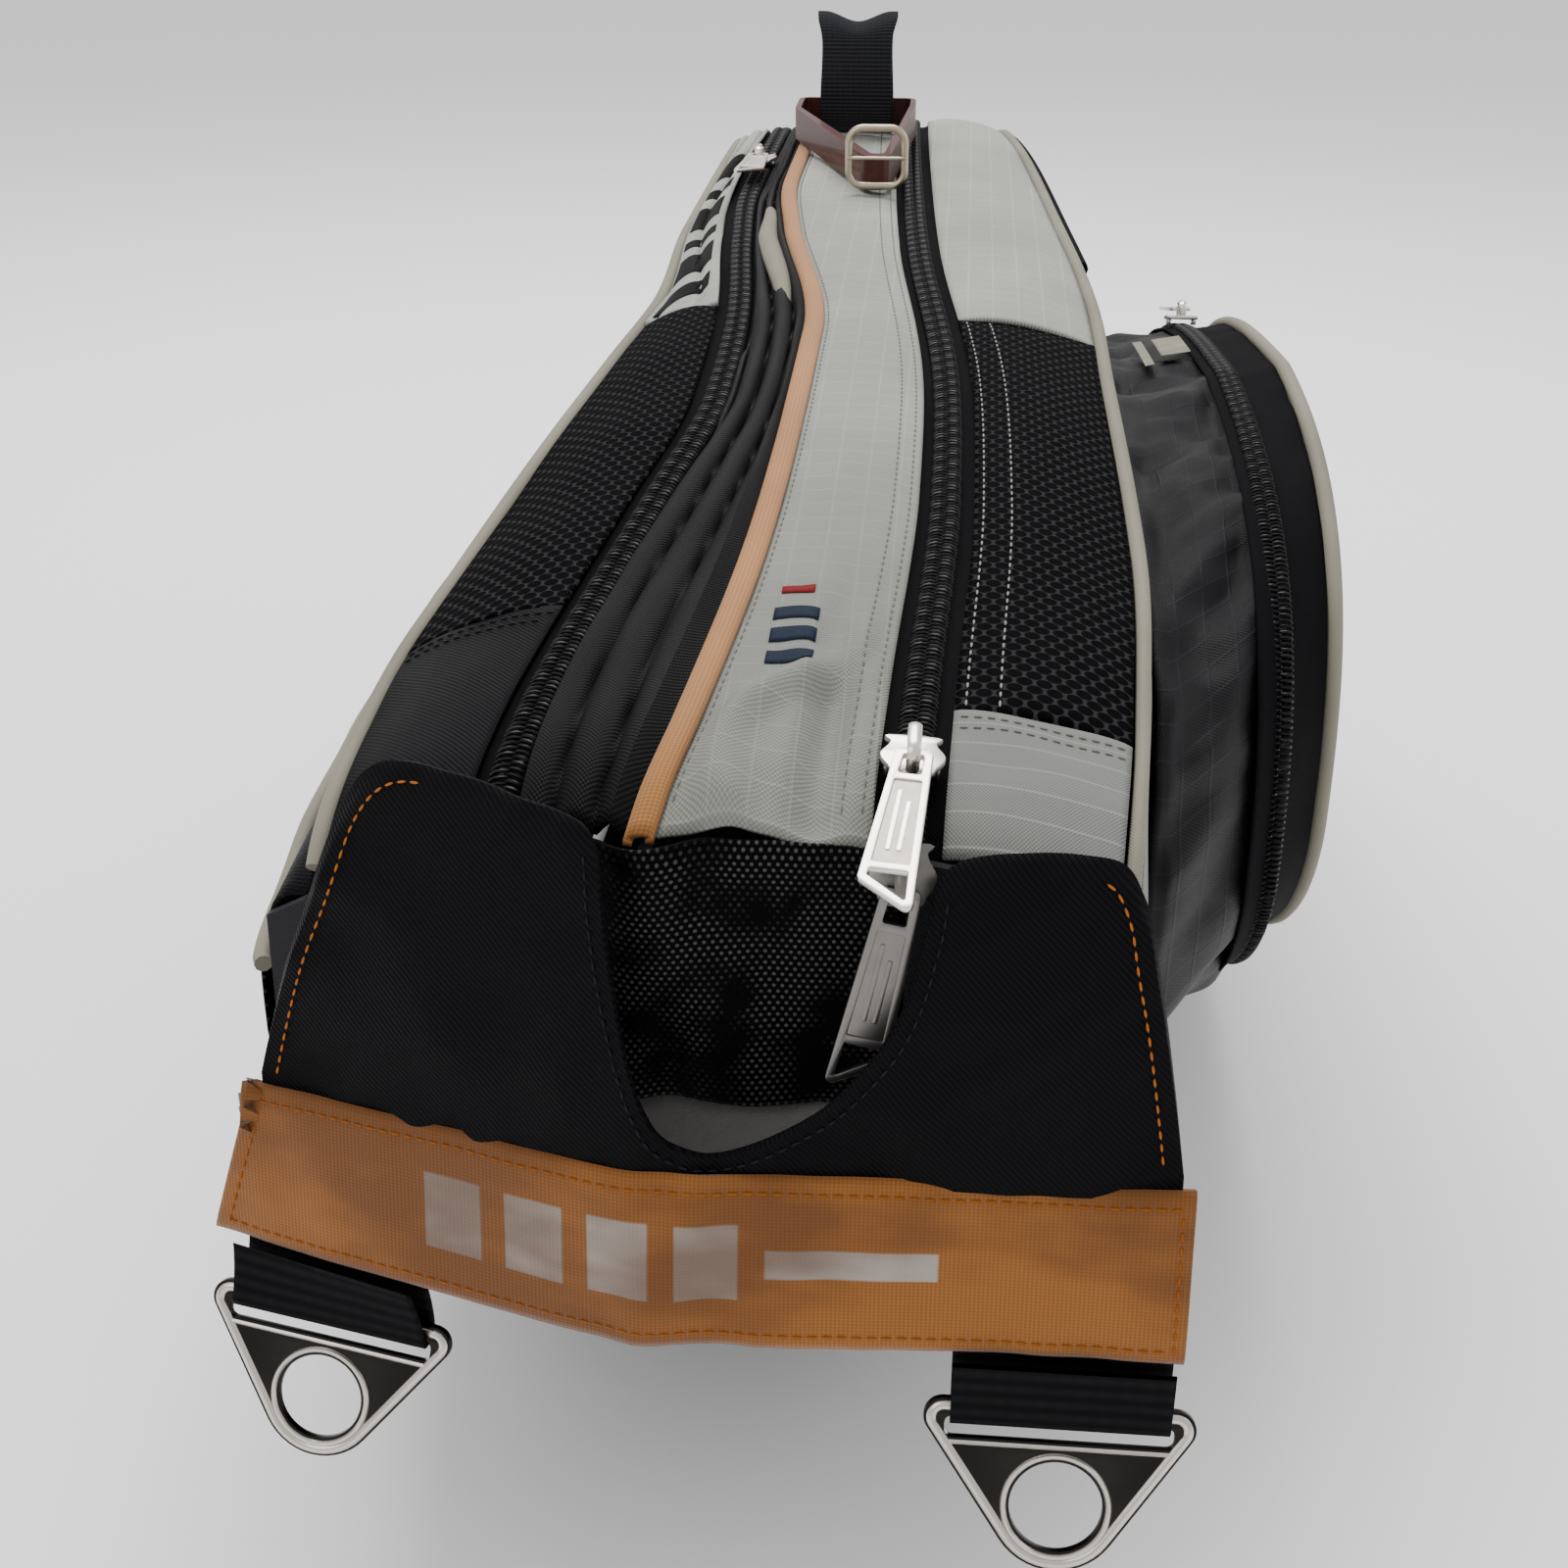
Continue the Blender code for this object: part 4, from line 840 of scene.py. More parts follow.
# ---- strap yoke
YOKE_LEAN, YOKE_TOP_Y, YOKE_TOP_Z = 0.18, -0.3795, 0.245
YOKE_EDGE = ((-0.1062, 0.1720), (-0.0995, 0.195), (-0.0905, 0.2190), (-0.0820, 0.2400),
             (-0.0720, 0.2515), (-0.0560, 0.2525), (-0.0380, 0.2500), (-0.0225, 0.2450),
             (-0.0190, 0.224), (-0.0150, 0.200), (-0.0090, 0.181), (0.0020, 0.1750),
             (0.0150, 0.1790), (0.0290, 0.1890), (0.0420, 0.2060), (0.0480, 0.225),
             (0.0510, 0.2390), (0.0600, 0.2445), (0.0850, 0.2455), (0.0935, 0.2370),
             (0.0980, 0.219), (0.1022, 0.1966), (0.1056, 0.1760))
NOTCH_MIDDLE = Vector((0.014, 0.225))
BAND_X = (-0.1220, 0.1085)
BAND_LOW, BAND_HIGH = (0.1275, 0.1325), (0.1690, 0.1735)


def yoke_y(x, z):
    near = max(SWEEP_FROM_X - x + 0.008, 0.0)
    return YOKE_TOP_Y - YOKE_LEAN * (YOKE_TOP_Z - z) + SWEEP * near * near / (near + 0.008)


def band_edge(heights, x):
    return mix(*heights, min(max((x - BAND_X[0]) / (BAND_X[1] - BAND_X[0]), 0.0), 1.0))


def yoke_point(x, z, lift=0.0):
    high = band_edge(BAND_HIGH, x)
    swell = 2.6 * MM * sin(pi * min(max((z - high) / 0.075, 0.0), 1.0))
    for centre, level, wide, tall, amount in ((-0.066, 0.205, 0.030, 0.040, 2.2),
                                              (0.072, 0.205, 0.026, 0.040, 2.0),
                                              (-0.032, 0.192, 0.012, 0.030, 2.0),
                                              (0.046, 0.188, 0.012, 0.022, 1.8)):
        swell += amount * MM * bump_at(x, centre, wide) * bump_at(z, level, tall)
    swell += 2.2 * MM * rough(x + z * 0.5, z, 0.026, 0.018, 51.0)
    swell += 1.1 * MM * rough(x - z * 0.8, z, 0.009, 0.014, 52.0)
    return Vector((x, yoke_y(x, z) - swell * 0.75 - lift, z))


def build_yoke():
    """The yoke's upper edge is a smooth curve; its cloth hangs from that edge to the band."""
    count = len(YOKE_EDGE) - 1

    def place(u, v):
        top = smooth_path(YOKE_EDGE, u)
        z = mix(band_edge(BAND_HIGH, top.x) - 2.0 * MM, top.y, v)
        tuck = 1.6 * MM * ease((v - 0.93) / 0.07)
        return yoke_point(top.x, z) + Vector((0.0, tuck, 0.0)), (top.x, z)
    piece("yoke_cloth", surface(place, 260, 42, TO_VIEWER), BLACK, "yoke",
          ("strap_yoke",), 2.2 * MM)
    rows = Stitches("yoke_edge_stitches", ORANGE_THREAD, "yoke", 0.34 * MM)
    for first, last, inset in ((0.0, 4.6, 4.2 * MM), (18.2, count, -4.2 * MM)):
        route = []
        for i in range(61):
            top = smooth_path(YOKE_EDGE, mix(first, last, i / 60) / count)
            drop = 3.4 * MM * ease((top.y - 0.20) / 0.045)
            route.append(yoke_point(top.x + inset * (1 - 0.3 * ease((top.y - 0.225) / 0.02)),
                                    top.y - drop, 0.25 * MM))
        rows.row(route, 2.4 * MM, 0.8 * MM)
    rows.done()
    dark = Stitches("yoke_notch_stitches", DARK_THREAD, "yoke", 0.3 * MM)
    route = []
    for i in range(81):
        top = smooth_path(YOKE_EDGE, mix(7.3, 15.7, i / 80) / count)
        inside = top + (top - NOTCH_MIDDLE).normalized() * 3.6 * MM
        route.append(yoke_point(inside.x, inside.y, 0.25 * MM))
    dark.row(route, 2.4 * MM, 0.9 * MM)
    dark.done()


def band_point(x, t, lift=0.0):
    z = mix(band_edge(BAND_LOW, x), band_edge(BAND_HIGH, x), t)
    wave = 1.6 * MM * sin(x * 62 + t * 1.4 + 0.6) * mix(1.0, 0.5, t)
    crease = 2.4 * MM * bump_at(x, -0.012 + 0.016 * t, 0.012) - 1.6 * MM * bump_at(x, 0.006, 0.010)
    small = 0.5 * MM * rough(x, t * 0.04, 0.012, 0.02, 61.0)
    sag = -1.6 * MM * bump_at(x, -0.035, 0.045) * (1 - t)
    roll = 1.0 * MM * (abs(2 * t - 1) ** 10)
    y = yoke_y(x, z) - 1.2 * MM - 0.48 * (wave + crease) - small + roll - lift
    return Vector((x, y, z + sag))


def build_band():
    bars = [(x, x + 0.0140, 0.0118, 0.0300) for x in (-0.0640, -0.0440, -0.0240, -0.0040)]
    bars.append((0.0160, 0.0540, 0.0175, 0.0243))
    cloth = grosgrain("orange_band_cloth", (0.300, 0.112, 0.018), (0.190, 0.062, 0.010), 0.70, bars)

    def place(u, v):
        x = mix(*BAND_X, u) + 0.0130 * v * (1 - ease(u / 0.06))
        return band_point(x, v), (x, v * 0.0415)
    piece("orange_band_cloth", surface(place, 200, 24, TO_VIEWER), cloth,
          "yoke", ("orange_band",), 2.8 * MM)
    rows = Stitches("band_stitches", BAND_THREAD, "yoke", 0.36 * MM)
    for t in (0.085, 0.905):
        rows.row([band_point(x, t, 0.15 * MM)
                  for x in along_bag(BAND_X[0] + (3 + 13 * t) * MM, BAND_X[1] - 2 * MM, 120)],
                 2.6 * MM, 0.7 * MM)
    for x, lean in ((BAND_X[1] - 2.6 * MM, 0.0), (BAND_X[0] + 4.2 * MM, 12.0 * MM)):
        rows.row([band_point(x + lean * t / 20, 0.06 + t / 20 * 0.86, 0.15 * MM)
                  for t in range(20)], 2.6 * MM, 0.8 * MM)
    rows.done()


# ---- rings and their webbing
LEAN = radians(20.0)
# bar's middle, turns of the webbing at the band and at the ring, and the ring's roll
RINGS = {"right": (Vector((0.0826, -0.39865, 0.11494)), 0.0, 0.0, 0.0),
         "left": (Vector((-0.0915, -0.37574, 0.11116)), radians(-18.3), radians(-7.0),
                  radians(6.0))}
TAB_DROP, WEB_W, WEB_R = 0.0170, 0.0490, 0.0039


def arc(centre, radius, start, stop, count):
    return [(centre[0] + radius * cos(radians(mix(start, stop, i / count))),
             centre[1] + radius * sin(radians(mix(start, stop, i / count))))
            for i in range(count + 1)]


def rounded(corners, radii, count):
    """A closed convex outline with each corner rounded to its own radius."""
    outline = []
    for i, (corner, radius) in enumerate(zip(corners, radii)):
        here = Vector(corner)
        back = (Vector(corners[i - 1]) - here).normalized()
        on = (Vector(corners[(i + 1) % len(corners)]) - here).normalized()
        half = back.angle(on) / 2
        centre = here + (back + on).normalized() * radius / sin(half)
        first = here + back * radius * cos(half) / sin(half) - centre
        last = here + on * radius * cos(half) / sin(half) - centre
        start, stop = atan2(first.y, first.x), atan2(last.y, last.x)
        turn = (stop - start + pi) % (2 * pi) - pi
        outline += [(centre.x + radius * cos(start + turn * k / count),
                     centre.y + radius * sin(start + turn * k / count)) for k in range(count + 1)]
    return outline


def dense(outline, step):
    """Points of a closed outline, no further than step apart."""
    points = []
    for a, b in zip(outline, outline[1:] + outline[:1]):
        count = max(1, ceil(hypot(b[0] - a[0], b[1] - a[1]) / step))
        points += [(mix(a[0], b[0], k / count), mix(a[1], b[1], k / count)) for k in range(count)]
    return points


def hoop(outline, radius, place, sides, flatten=1.0):
    """A closed ring of wire that follows an outline in its own plane."""
    points = [Vector((x, y, 0.0)) for x, y in outline]
    count = len(points)

    def spot(u, v):
        i = int(round(v * count)) % count
        ahead = (points[(i + 1) % count] - points[i - 1]).normalized()
        point = points[i] + ahead.cross(UP) * cos(2 * pi * u) * radius
        point.z += sin(2 * pi * u) * radius * flatten
        return place @ point, (u * radius * 6, v * 0.1)
    return tight(surface(spot, sides, count))


def plate(outlines, half, place, soften=0.0):
    """A flat plate from closed outlines, the first its edge and the rest its holes."""
    flat = bpy.data.curves.new("outline", "CURVE")
    flat.dimensions, flat.fill_mode, flat.extrude = "2D", "BOTH", half - soften
    flat.bevel_depth, flat.bevel_resolution = soften, 1
    for outline in outlines:
        spline = flat.splines.new("POLY")
        spline.points.add(len(outline) - 1)
        for point, (x, y) in zip(spline.points, outline):
            point.co = (x, y, 0.0, 1.0)
        spline.use_cyclic_u = True
    work = from_curve(flat)
    work.transform(place)
    return tight(work, 0.002 * MM)


def merged(*works):
    """One bmesh from several."""
    first = works[0]
    for other in works[1:]:
        mesh = bpy.data.meshes.new("part")
        other.to_mesh(mesh)
        other.free()
        first.from_mesh(mesh)
        bpy.data.meshes.remove(mesh)
    return first


def build_rings():
    bar, slot_high, hole_r, rim, taper = 3.6 * MM, 5.4 * MM, 10.8 * MM, 4.0 * MM, radians(34.0)
    low = -bar / 2 - slot_high
    middle = low - rim - hole_r
    tip = middle - (hole_r + rim) / sin(taper)
    half = (bar / 2 - tip) * sin(taper) / cos(taper)
    edge = rounded([(0.0, tip), (half, bar / 2), (-half, bar / 2)],
                   (hole_r + rim, 4.2 * MM, 4.2 * MM), 14)
    wide = 0.0260
    slot = rounded([(-wide, low), (wide, low), (wide, -bar / 2), (-wide, -bar / 2)],
                   (2.0 * MM,) * 4, 5)
    hole = arc((0.0, middle), hole_r, 0, 360, 48)[:-1]
    rim_edge = rounded([(0.0, tip + 2.6 * MM), (half - 2.6 * MM, bar / 2 - 1.5 * MM),
                        (2.6 * MM - half, bar / 2 - 1.5 * MM)],
                       (hole_r + rim - 1.5 * MM, 2.9 * MM, 2.9 * MM), 14)
    rim_hole = arc((0.0, middle), hole_r + 1.1 * MM, 0, 360, 56)[:-1]
    for side, (at, turn, ring_turn, roll) in RINGS.items():
        above = Matrix.Translation(at) @ Matrix.Rotation(turn, 4, "Z")
        below = (Matrix.Translation(at) @ Matrix.Rotation(ring_turn, 4, "Z")
                 @ Matrix.Rotation(roll, 4, "Y"))
        place = below @ Matrix.Rotation(radians(90.0) - LEAN, 4, "X")
        body = f"{side}_ring"
        # The plate's near-black nickel is painted shade; its rims are the lit nickel.
        piece(f"{side}_ring_plate", plate([edge, slot, hole], 1.1 * MM, place, 0.3 * MM),
              SHADED_RING_NICKEL, body, (f"{side}_triangle_ring",), angle=30.0)
        rims = merged(hoop(dense(rim_edge, 2.5 * MM), 1.5 * MM, place, 10, 1.15),
                      hoop(rim_hole, 1.1 * MM, place, 10, 1.5))
        shelf = rope([place @ Vector((x, low - 0.9 * MM, 0.0))
                      for x in along_bag(-wide, wide, 12)], 0.9 * MM, 8,
                     place.to_3x3() @ UP, 1.6)
        piece(f"{side}_ring_rim", merged(rims, shelf), RIM_METAL, body)
        profile = [(-WEB_R, TAB_DROP * k / 8) for k in range(8, 0, -1)]
        profile += arc((0.0, 0.0), WEB_R, 180, 360, 12)
        profile += [(WEB_R, TAB_DROP * k / 8) for k in range(1, 9)]

        def lay(u, v):
            k = v * (len(profile) - 1)
            a, b = profile[int(k)], profile[min(int(k) + 1, len(profile) - 1)]
            y, z = mix(a[0], b[0], k - int(k)), mix(a[1], b[1], k - int(k))
            x = mix(-WEB_W / 2, WEB_W / 2, u)
            spot = Vector((x, y, min(z, TAB_DROP - 1.2 * MM)))
            part = max(spot.z, 0.0) / TAB_DROP
            return (below @ spot).lerp(above @ spot, part), (x, v * 0.046)
        piece(f"{side}_ring_webbing", surface(lay, 40, 56, lambda c: Vector(
            (0.0, c.y - at.y, min(c.z - at.z, 0.0)))), WEBBING, "yoke",
            (f"{side}_web_tab",), 1.2 * MM)


# ---- zip sliders and pulls
def slider_seat(at, forward, facing, roll):
    pitch = atan2(forward[2], abs(forward[1]))
    return (Matrix.Translation(at) @ Matrix.Rotation(pitch, 4, "X")
            @ Matrix.Rotation(roll, 4, "Y") @ Matrix.Rotation(facing, 4, "Z"))


def build_slider(node, body, seat, paint):
    """Waisted top plate with flared shoulders, its side walls, and an arched bridge."""
    right = [(3.6, -6.4), (5.2, -4.4), (6.8, -1.8), (6.9, 0.2), (5.5, 2.6), (4.9, 4.6), (5.5, 6.4)]
    outline = [Vector((x * MM, y * MM)) for x, y in right + [(-x, y) for x, y in reversed(right)]]
    smooth = [tuple(curve_point([outline[(i + k) % len(outline)] for k in (-1, 0, 1, 2)], f / 4))
              for i in range(len(outline)) for f in range(4)]
    parts = [plate([smooth], 0.8 * MM, seat @ Matrix.Translation((0, 0, 1.2 * MM)), 0.3 * MM)]
    for middle in (-5.4, 5.4):
        low, high = (middle - 0.7) * MM, (middle + 0.7) * MM
        box = rounded([(low, -3.6 * MM), (high, -3.6 * MM), (high, 2.4 * MM), (low, 2.4 * MM)],
                      (0.5 * MM,) * 4, 3)
        parts.append(plate([box], 1.3 * MM, seat @ Matrix.Translation((0, 0, -0.6 * MM)),
                           0.2 * MM))
    path = [(-6.2, 1.6), (-6.3, 4.8), (-5.6, 6.8), (-3.8, 7.7), (0.0, 7.8), (3.0, 7.5), (4.6, 6.2),
            (4.9, 4.4), (4.9, 1.6)]
    route = [smooth_path(path, i / 32) * MM for i in range(33)]
    parts.append(rope([seat @ Vector((0.0, p.x, p.y)) for p in route], 0.85 * MM, 10,
                      seat.to_3x3() @ Vector((1, 0, 0)), 1.9))
    piece(node + "_metal", merged(*parts), paint, body, (node,), angle=35.0)


def build_pull(node, body, pivot, aim, length, paint, floor_paint, flip):
    """A tapered pull: an eye of two legs, a sunk panel with a raised border and an open end."""
    down, side = Vector(aim).normalized(), Vector((1.0, 0.0, 0.0))
    across = (side - down * side.dot(down)).normalized()
    place = Matrix.Translation(pivot) @ Matrix((across, -down, across.cross(-down))
                                               ).transposed().to_4x4()
    end = length / MM

    def shape(radius, *points):
        points = [(x * flip * MM, y * MM) for x, y in points]
        return rounded(points[::flip], (radius * MM,) * 4, 5)
    edge = shape(1.2, (-4.0, 0.7), (-6.3, -end), (5.9, 8.2 - end), (4.0, 0.7))
    eye = shape(0.9, (-2.5, -0.9), (-2.9, -7.6), (2.9, -7.6), (2.5, -0.9))
    window = shape(0.6, (-5.0, 2.3 - end), (4.5, 9.2 - end), (4.3, 11.6 - end),
                   (-4.4, 11.6 - end))
    panel_edge = shape(0.7, (-3.3, -9.2), (-4.4, 13.2 - end), (4.2, 13.2 - end), (3.3, -9.2))
    parts = [plate([edge, eye, window, panel_edge], 0.75 * MM, place, 0.28 * MM)]
    for x, top in ((-1.2, -12.5), (1.2, -16.0)):
        low, high = 17.5 - end, top
        bar = [(x - 0.45, low), (x + 0.45, low), (x + 0.45, high), (x - 0.45, high)]
        parts.append(plate([rounded([(a * MM, b * MM) for a, b in bar], (0.4 * MM,) * 4, 3)],
                           0.5 * MM, place, 0.1 * MM))
    piece(node + "_metal", merged(*parts), paint, body, (node,), angle=35.0)
    piece(node + "_metal_panel", plate([panel_edge], 0.32 * MM, place), floor_paint,
          body, angle=30.0)


def build_sliders():
    """Each slider's place, direction, facing, roll, body and metal; then each pull."""
    for node, at, forward, facing, roll, body, paint in (
            ("right_slider", (0.04407, -0.34, 0.24767), (0, 0.966, 0.212), 0.0, 0.06,
             "right_zip_slider", NICKEL),
            ("left_slider", (-0.04200, 0.2, 0.29552), (0, 0.999, 0.044), 0.0, -0.22,
             "left_zip_slider", NICKEL),
            ("right_lower_slider", (0.04329, -0.36932, 0.23456), (0, 0.5, 0.86603), 0.0, 0.0,
             "bag_core", GUNMETAL),
            ("pocket_slider", (0.14865, 0.14, 0.24023), (0, 0.97866, -0.20547), pi, 0.0,
             "pocket_zip_slider", NICKEL)):
        build_slider(node, body, slider_seat(at, forward, facing, roll), paint)
    drop, low = radians(16.0), radians(86.0)
    for node, body, pivot, aim, length, paint, floor_paint, flip in (
            ("right_pull", "right_zip_pull", (0.04457, -0.34455, 0.25152),
             (-0.11, -cos(drop), -sin(drop)), 0.049, NICKEL, PLATE, -1),
            ("right_lower_pull", "right_lower_zip_pull", (0.04329, -0.37594, 0.23371),
             (-0.20, -cos(low), -sin(low)), 0.049, GUNMETAL, GUNMETAL, 1),
            ("left_pull", "left_zip_pull", (-0.04311, 0.1961, 0.29992), (0.0, -1.0, 0.0), 0.049,
             NICKEL, PLATE, 1),
            ("pocket_pull", "pocket_zip_pull", (0.14865, 0.14459, 0.24407), (0.0, 1.0, -0.21),
             0.032, NICKEL, PLATE, 1)):
        build_pull(node, body, pivot, aim, length, paint, floor_paint, flip)


# ---- side pocket
POCKET = {"wall": (0.1140, 0.0, 0.146, 0.285, 0.104), "face": (0.1710, 0.020, 0.156, 0.218, 0.104)}
GUSSET_X, TEETH_X, RIM_X, FACE_X = 0.1465, 0.1508, 0.1660, 0.1710


def pocket_spot(x, turn, grow=0.0):
    """A point of the pocket's side at a distance x from the bag's middle plane."""
    t = min(max((x - POCKET["wall"][0]) / (FACE_X - POCKET["wall"][0]), 0.0), 1.0)
    cy, cz, a, b = (mix(p, q, t) for p, q in zip(POCKET["wall"][1:], POCKET["face"][1:]))
    c, s = cos(turn), sin(turn)
    power = 1.7 if c < 0 and s < 0 else 2.8
    y = cy + (a + grow) * abs(c) ** (2 / power) * (1 if c > 0 else -1)
    z = cz + (b + grow) * abs(s) ** (2 / power) * (1 if s > 0 else -1)
    y += 0.022 * min(c, 0.0) ** 2
    return Vector((x, y, z - 0.09 * max(y + 0.02, 0.0) * max(s, 0.0)))


POCKET_STEPS = 720
POCKET_RUN = lengths([pocket_spot(GUSSET_X, 2 * pi * i / POCKET_STEPS - pi / 2)
                      for i in range(POCKET_STEPS + 1)])


def pocket_turn(v):
    """The turn angle at an even distance v, from 0 to 1, round the pocket; it starts low."""
    reach = v * POCKET_RUN[-1]
    at = min(max(bisect_right(POCKET_RUN, reach) - 1, 0), POCKET_STEPS - 1)
    part = (reach - POCKET_RUN[at]) / max(POCKET_RUN[at + 1] - POCKET_RUN[at], 1e-9)
    return 2 * pi * (at + part) / POCKET_STEPS - pi / 2


def pocket_skin(name, paint, body, replaced, x_at, relief, across, thick):
    """A cloth round the pocket; x_at and relief give its place and its wrinkles."""
    def place(u, v):
        turn = pocket_turn(v)
        x = x_at(u, turn)
        return pocket_spot(x, turn, relief(u, v)), (x, v * POCKET_LENGTH)
    work = joined(surface(place, across, 260, lambda c: c - Vector((c.x, 0.0, 0.15))))
    piece(name, work, paint, body, replaced, thick)


POCKET_LENGTH = 1.02


def wall_line(turn):
    """x where the pocket's side meets the bag's wall."""
    spot = pocket_spot(0.1165, turn)
    y = min(max(spot.y, NEAR_Y), FAR_Y)
    return wall_x(wall_points(WALL_R, EDGE_R_X, y, FOOT_R_X, 1), spot.z) + 2.4 * MM


def build_pocket():
    def wrinkles(u, v):
        side = min(sin(pi * u) * 2.2, 1.0)
        soft = 6.0 * MM * rough(u * 0.05 + v * 0.25, v, 0.035, 0.030, 71.0)
        soft += 3.4 * MM * rough(u * 0.05 - v * 0.5, v, 0.02, 0.011, 72.0)
        return side * (soft - 2.0 * MM)
    pocket_skin("pocket_side_cloth", BLACK_RIP, "right_shell",
                ("right_pocket_gusset",), lambda u, turn: mix(wall_line(turn), GUSSET_X, u),
                wrinkles, 22, CLOTH)
    pocket_skin("pocket_zip_tape", TAPE, "pocket_lid", ("right_pocket_rim",),
                lambda u, turn: mix(TEETH_X + 0.3 * MM, RIM_X, u),
                lambda u, v: -0.9 * MM * (1 - u) + 0.8 * MM * rough(u, v, 1.0, 0.02, 73.0),
                10, CLOTH)
    pocket_skin("pocket_inner_tape", TAPE, "right_shell", (),
                lambda u, turn: mix(GUSSET_X - 5.0 * MM, GUSSET_X + 1.6 * MM, u),
                lambda u, v: 0.9 * MM, 4, 0.7 * MM)
    outward = Vector((1.0, 0.0, 0.0))
    count = 420
    points = [pocket_spot((GUSSET_X + TEETH_X) / 2, pocket_turn(i / count), 0.6 * MM)
              for i in range(count)]
    frames = []
    for i in range(count + 1):
        ahead = (points[(i + 1) % count] - points[i % count - 1]).normalized()
        frames.append((points[i % count], ahead, outward, outward.cross(ahead)))
    coil("pocket_coil", frames, -1, "right_shell", ("right_pocket_teeth",), 3.9 * MM)
    coil("pocket_outer_coil", frames, 1, "pocket_lid", (), 3.9 * MM)
    ring = [pocket_spot(RIM_X + 2.6 * MM, pocket_turn(i / 300), 0.4 * MM) for i in range(300)]

    def cord(u, v):
        i = int(round(v * 300)) % 300
        out = (ring[(i + 1) % 300] - ring[i - 1]).normalized().cross(outward)
        turn = 2 * pi * u
        return ring[i] + (out * cos(turn) + outward * sin(turn)) * 2.6 * MM, \
            (u * 0.016, v * POCKET_LENGTH)
    piece("pocket_cream_cord", tight(surface(cord, 12, 300)), CREAM, "pocket_lid",
          ("right_pocket_piping",))

    def face(u, v):
        turn = 2 * pi * v
        reach = sin(u * pi / 2)
        edge = pocket_spot(RIM_X + 2.0 * MM, turn, -2.0 * MM)
        centre = Vector((edge.x, 0.020, 0.156))
        point = centre.lerp(edge, reach)
        point.x += (3.6 * MM * (1 - reach ** 3)
                    + 0.9 * MM * rough(point.y, point.z, 0.05, 0.04, 75.0) * (1 - reach))
        return point, (point.y, point.z)
    work = joined(surface(face, 40, 160, Vector((1, 0, 0))))
    piece("pocket_face_cloth", work, WHITE, "pocket_lid",
          ("right_pocket_face",), CLOTH)


def build_left_pocket():
    def place(u, v):
        y = mix(NEAR_Y, 0.1609, v)
        points = wall_points(WALL_L, EDGE_L_X, y, FOOT_L_X, -1)
        z = mix(points[-1][1] + 0.022, 0.178, u)
        stand = 4.4 * MM + 9.0 * MM * sin(pi * v) ** 0.5 * u ** 0.6
        stand += 1.2 * MM * rough(z, y, 0.03, 0.05, 81.0)
        return swept(wall_x(points, z) - stand, y, z), (z, y)
    piece("left_pocket_mesh", surface(place, 40, 170, Vector((-1, 0, 0))), DIAMOND,
          "left_shell", ("left_mesh_pocket",), 1.0 * MM)
    route = [place(1.0, i / 160)[0] + Vector((0.6 * MM, 0.0, 2.4 * MM)) for i in range(161)]
    piece("left_pocket_cord", rope(route, 2.3 * MM), CREAM, "left_shell",
          ("left_pocket_piping",))


# ---- haul handle, leather strap and buckle
def build_handle():
    foot = Vector((-0.001, 0.245, 0.3029))
    tall, deep, wide = 0.056, 0.030, 0.0370

    def place(u, v):
        turn = 2 * pi * mix(0.035, 0.965, v)
        swell = 0.55 - 0.45 * cos(turn)
        y = deep / 2 * sin(turn) * swell * 0.94
        z = tall / 2 * (1 - cos(turn)) * 0.985
        top = ease((z - tall * 0.75) / (tall * 0.25))
        dip = 4.5 * MM * bump_at(u, 0.5, 0.42) * top
        x = mix(-wide / 2, wide / 2, u) * (1 - 0.10 * (1 - top) + 0.03 * sin(z * 120))
        return foot + Vector((x, y, z - dip)), (x, v * 0.13)
    piece("haul_loop", surface(place, 30, 90, lambda c: Vector(
        (0.0, c.y - foot.y, (c.z - foot.z - tall / 2) * 0.8))), LOOP_CLOTH,
        "haul_handle", ("grab_handle",), 2.4 * MM)
    near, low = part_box("tag_buckle")
    middle = (near + low) / 2
    half = (low.x - near.x) / 2 - 1.6 * MM
    place = Matrix.Translation(middle) @ Matrix.Rotation(radians(92.0), 4, "X")
    square = rounded([(-half, -half), (half, -half), (half, half), (-half, half)],
                     (6.0 * MM,) * 4, 10)
    work = hoop(dense(square, 1.5 * MM), 1.6 * MM, place, 12)
    piece("buckle_frame", work, BRASS, "buckle", ("tag_buckle",))
    a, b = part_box("tag_prong")
    level = (a.z + b.z) / 2
    route = [Vector((mix(a.x + 1 * MM, b.x - 0.5 * MM, i / 10), (a.y + b.y) / 2, level))
             for i in range(11)]
    piece("buckle_prong", rope(route, 0.7 * MM, 8), BRASS, "prong", ("tag_prong",))


# ---- prints and small trims
def prints(name, place, bars, paint, body):
    """Thin plain bars laid on a surface; each is its four limits across and along."""
    works = []
    for low, high, start, stop in bars:
        def spot(u, v):
            x, y = mix(low, high, u), mix(start, stop, v)
            return place(x, y), (x, y)
        works.append(surface(spot, 10, max(2, int((stop - start) / (2 * MM))), UP))
    piece(name, merged(*works), paint, body, (), 0.15 * MM)


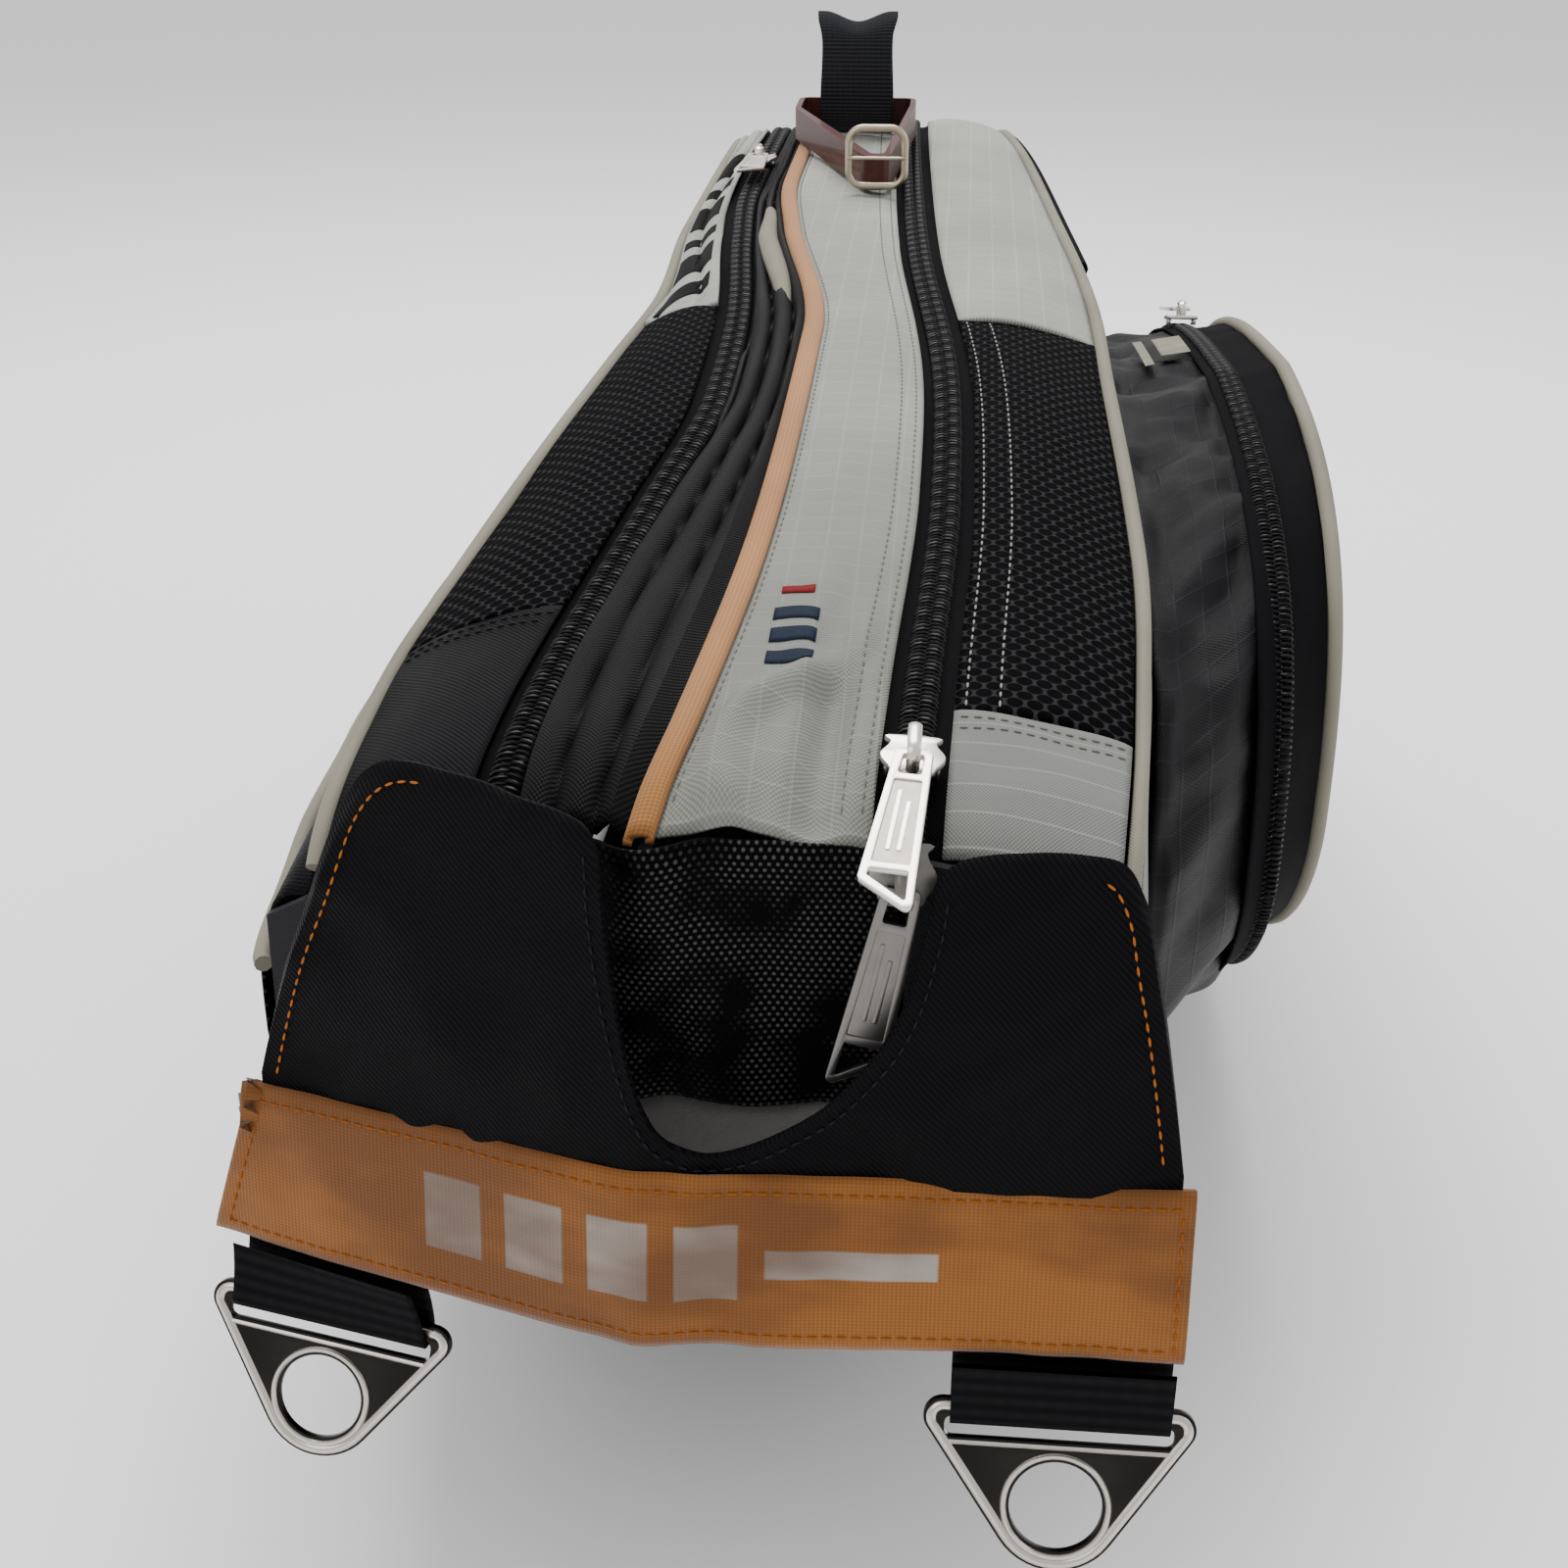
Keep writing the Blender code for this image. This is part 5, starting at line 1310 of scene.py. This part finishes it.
def build_prints():
    def centre(x, y):
        return on_panel(CENTRE_LEFT, CENTRE_RIGHT, centre_relief, x, y, 0.35 * MM)
    prints("panel_navy_bars", centre, [(0.0075, 0.0190, start, start + 0.0065)
                                       for start in (-0.3060, -0.2950, -0.2840)],
           NAVY, "bag_core")
    prints("panel_red_bar", centre, [(0.0085, 0.0170, -0.2700, -0.2665)],
           RED, "bag_core")

    def gusset(x, y):
        low, high = 0.02, pi / 2
        for _ in range(24):
            turn = (low + high) / 2
            low, high = (low, turn) if pocket_spot(x, turn).y < y else (turn, high)
        return pocket_spot(x, turn, 4.2 * MM)
    prints("pocket_side_bars", gusset, [(0.1215, 0.1250, -0.040, 0.065),
                                        (0.1290, 0.1400, -0.022, 0.002),
                                        (0.1290, 0.1400, 0.020, 0.065)],
           OFF_WHITE, "right_shell")

    def shoulder(u, y):
        slanted = y + 0.030 * (u - 0.5)
        x = mix(LEFT_OUT(slanted), LEFT_IN(slanted), u)
        return on_top(x, slanted, left_shoulder_relief(u, slanted, x) + 0.35 * MM)
    prints("left_shoulder_bars", shoulder, [(0.06, 0.80, start, stop) for start, stop in (
        (-0.022, -0.004), (0.012, 0.044), (0.060, 0.072), (0.092, 0.130), (0.150, 0.166),
        (0.190, 0.235))], BLACK, "left_shell")


# ---- plain inner and far pieces
def plain_cloth(name, colour, axes):
    """Woven cloth on a flat solid, with its threads along two of the solid's own axes."""
    paint = Paint(name, 0.8, Specular_IOR_Level=0.2)
    spots = paint.split(paint.where())
    weave = plain_weave(*(spots[i] for i in axes), 1.2 * MM)
    patches = paint.noise(14.0, 4.0).over(0.5, 0.15)
    base = paint.blend(weave, dim(colour, 0.55), colour)
    return paint.finish(paint.blend(patches * 0.3, base, dim(colour, 0.5)), weave, 0.25 * MM, 0.6)


def dress_solids():
    black, white, grey = (0.020, 0.020, 0.024), (0.62, 0.62, 0.57), (0.06, 0.06, 0.065)
    finishes = {"base_fabric": plain_cloth("base_cloth", black, (0, 1)),
                "base_board": BOARD, "tag_strap": LEATHER,
                "centre_divider": plain_cloth("divider_cloth", grey, (1, 2)),
                "far_end_panel": plain_cloth("far_end_cloth", white, (0, 2))}
    end = plain_cloth("end_side_cloth", black, (0, 2))
    for side in ("right", "left"):
        for place in ("near", "far"):
            finishes[f"{side}_{place}_end"] = end
    for node, finish in finishes.items():
        for socket in frame["nodes"][node].material_slots:
            socket.material = finish


# ---- stage
def build_stage():
    work = bmesh.new()
    bmesh.ops.create_grid(work, x_segments=1, y_segments=1, size=6.0)
    mesh = bpy.data.meshes.new("floor")
    work.to_mesh(mesh)
    work.free()
    pale = Paint("pale_floor", 0.9)
    pale.set("Base Color", (0.97, 0.97, 0.97))
    mesh.materials.append(pale.material)
    link("floor", mesh)
    world = bpy.data.worlds.new("studio")
    world.use_nodes = True
    world.node_tree.nodes["Background"].inputs["Color"].default_value = (1.0, 1.0, 1.0, 1.0)
    world.node_tree.nodes["Background"].inputs["Strength"].default_value = 0.95
    bpy.context.scene.world = world
    for name, spot, aim, size, power in (
            ("key", (-0.15, 0.75, 1.9), (0.0, 0.1, 0.2), 1.3, 46.0),
            ("fill", (-0.9, -1.2, 1.3), (0.0, -0.2, 0.2), 1.2, 7.0),
            ("side", (1.5, 0.1, 0.9), (0.1, 0.0, 0.15), 1.0, 4.0)):
        light = bpy.data.lights.new(name, "AREA")
        light.size, light.energy = size, power
        lamp = link(name, light)
        lamp.location = spot
        lamp.rotation_euler = (Vector(aim) - Vector(spot)).to_track_quat("-Z", "Y").to_euler()
    camera = link("camera", bpy.data.cameras.new("camera"))
    camera.data.lens, camera.data.sensor_width = 45.0, 36.0
    camera.data.clip_start = 0.01
    camera.location = (0.050, -0.737, 0.435)
    camera.rotation_euler = (radians(64.0), 0.0, radians(5.0))
    bpy.context.scene.camera = camera


build_stage()
build_centre()
build_long_zip("right", ZIP_R_X, "right_shell")
build_long_zip("left", ZIP_L_X, "left_shell")
build_right_shell()
build_left_shell()
build_near_end()
build_yoke()
build_band()
build_rings()
build_sliders()
build_pocket()
build_left_pocket()
build_handle()
build_prints()
dress_solids()
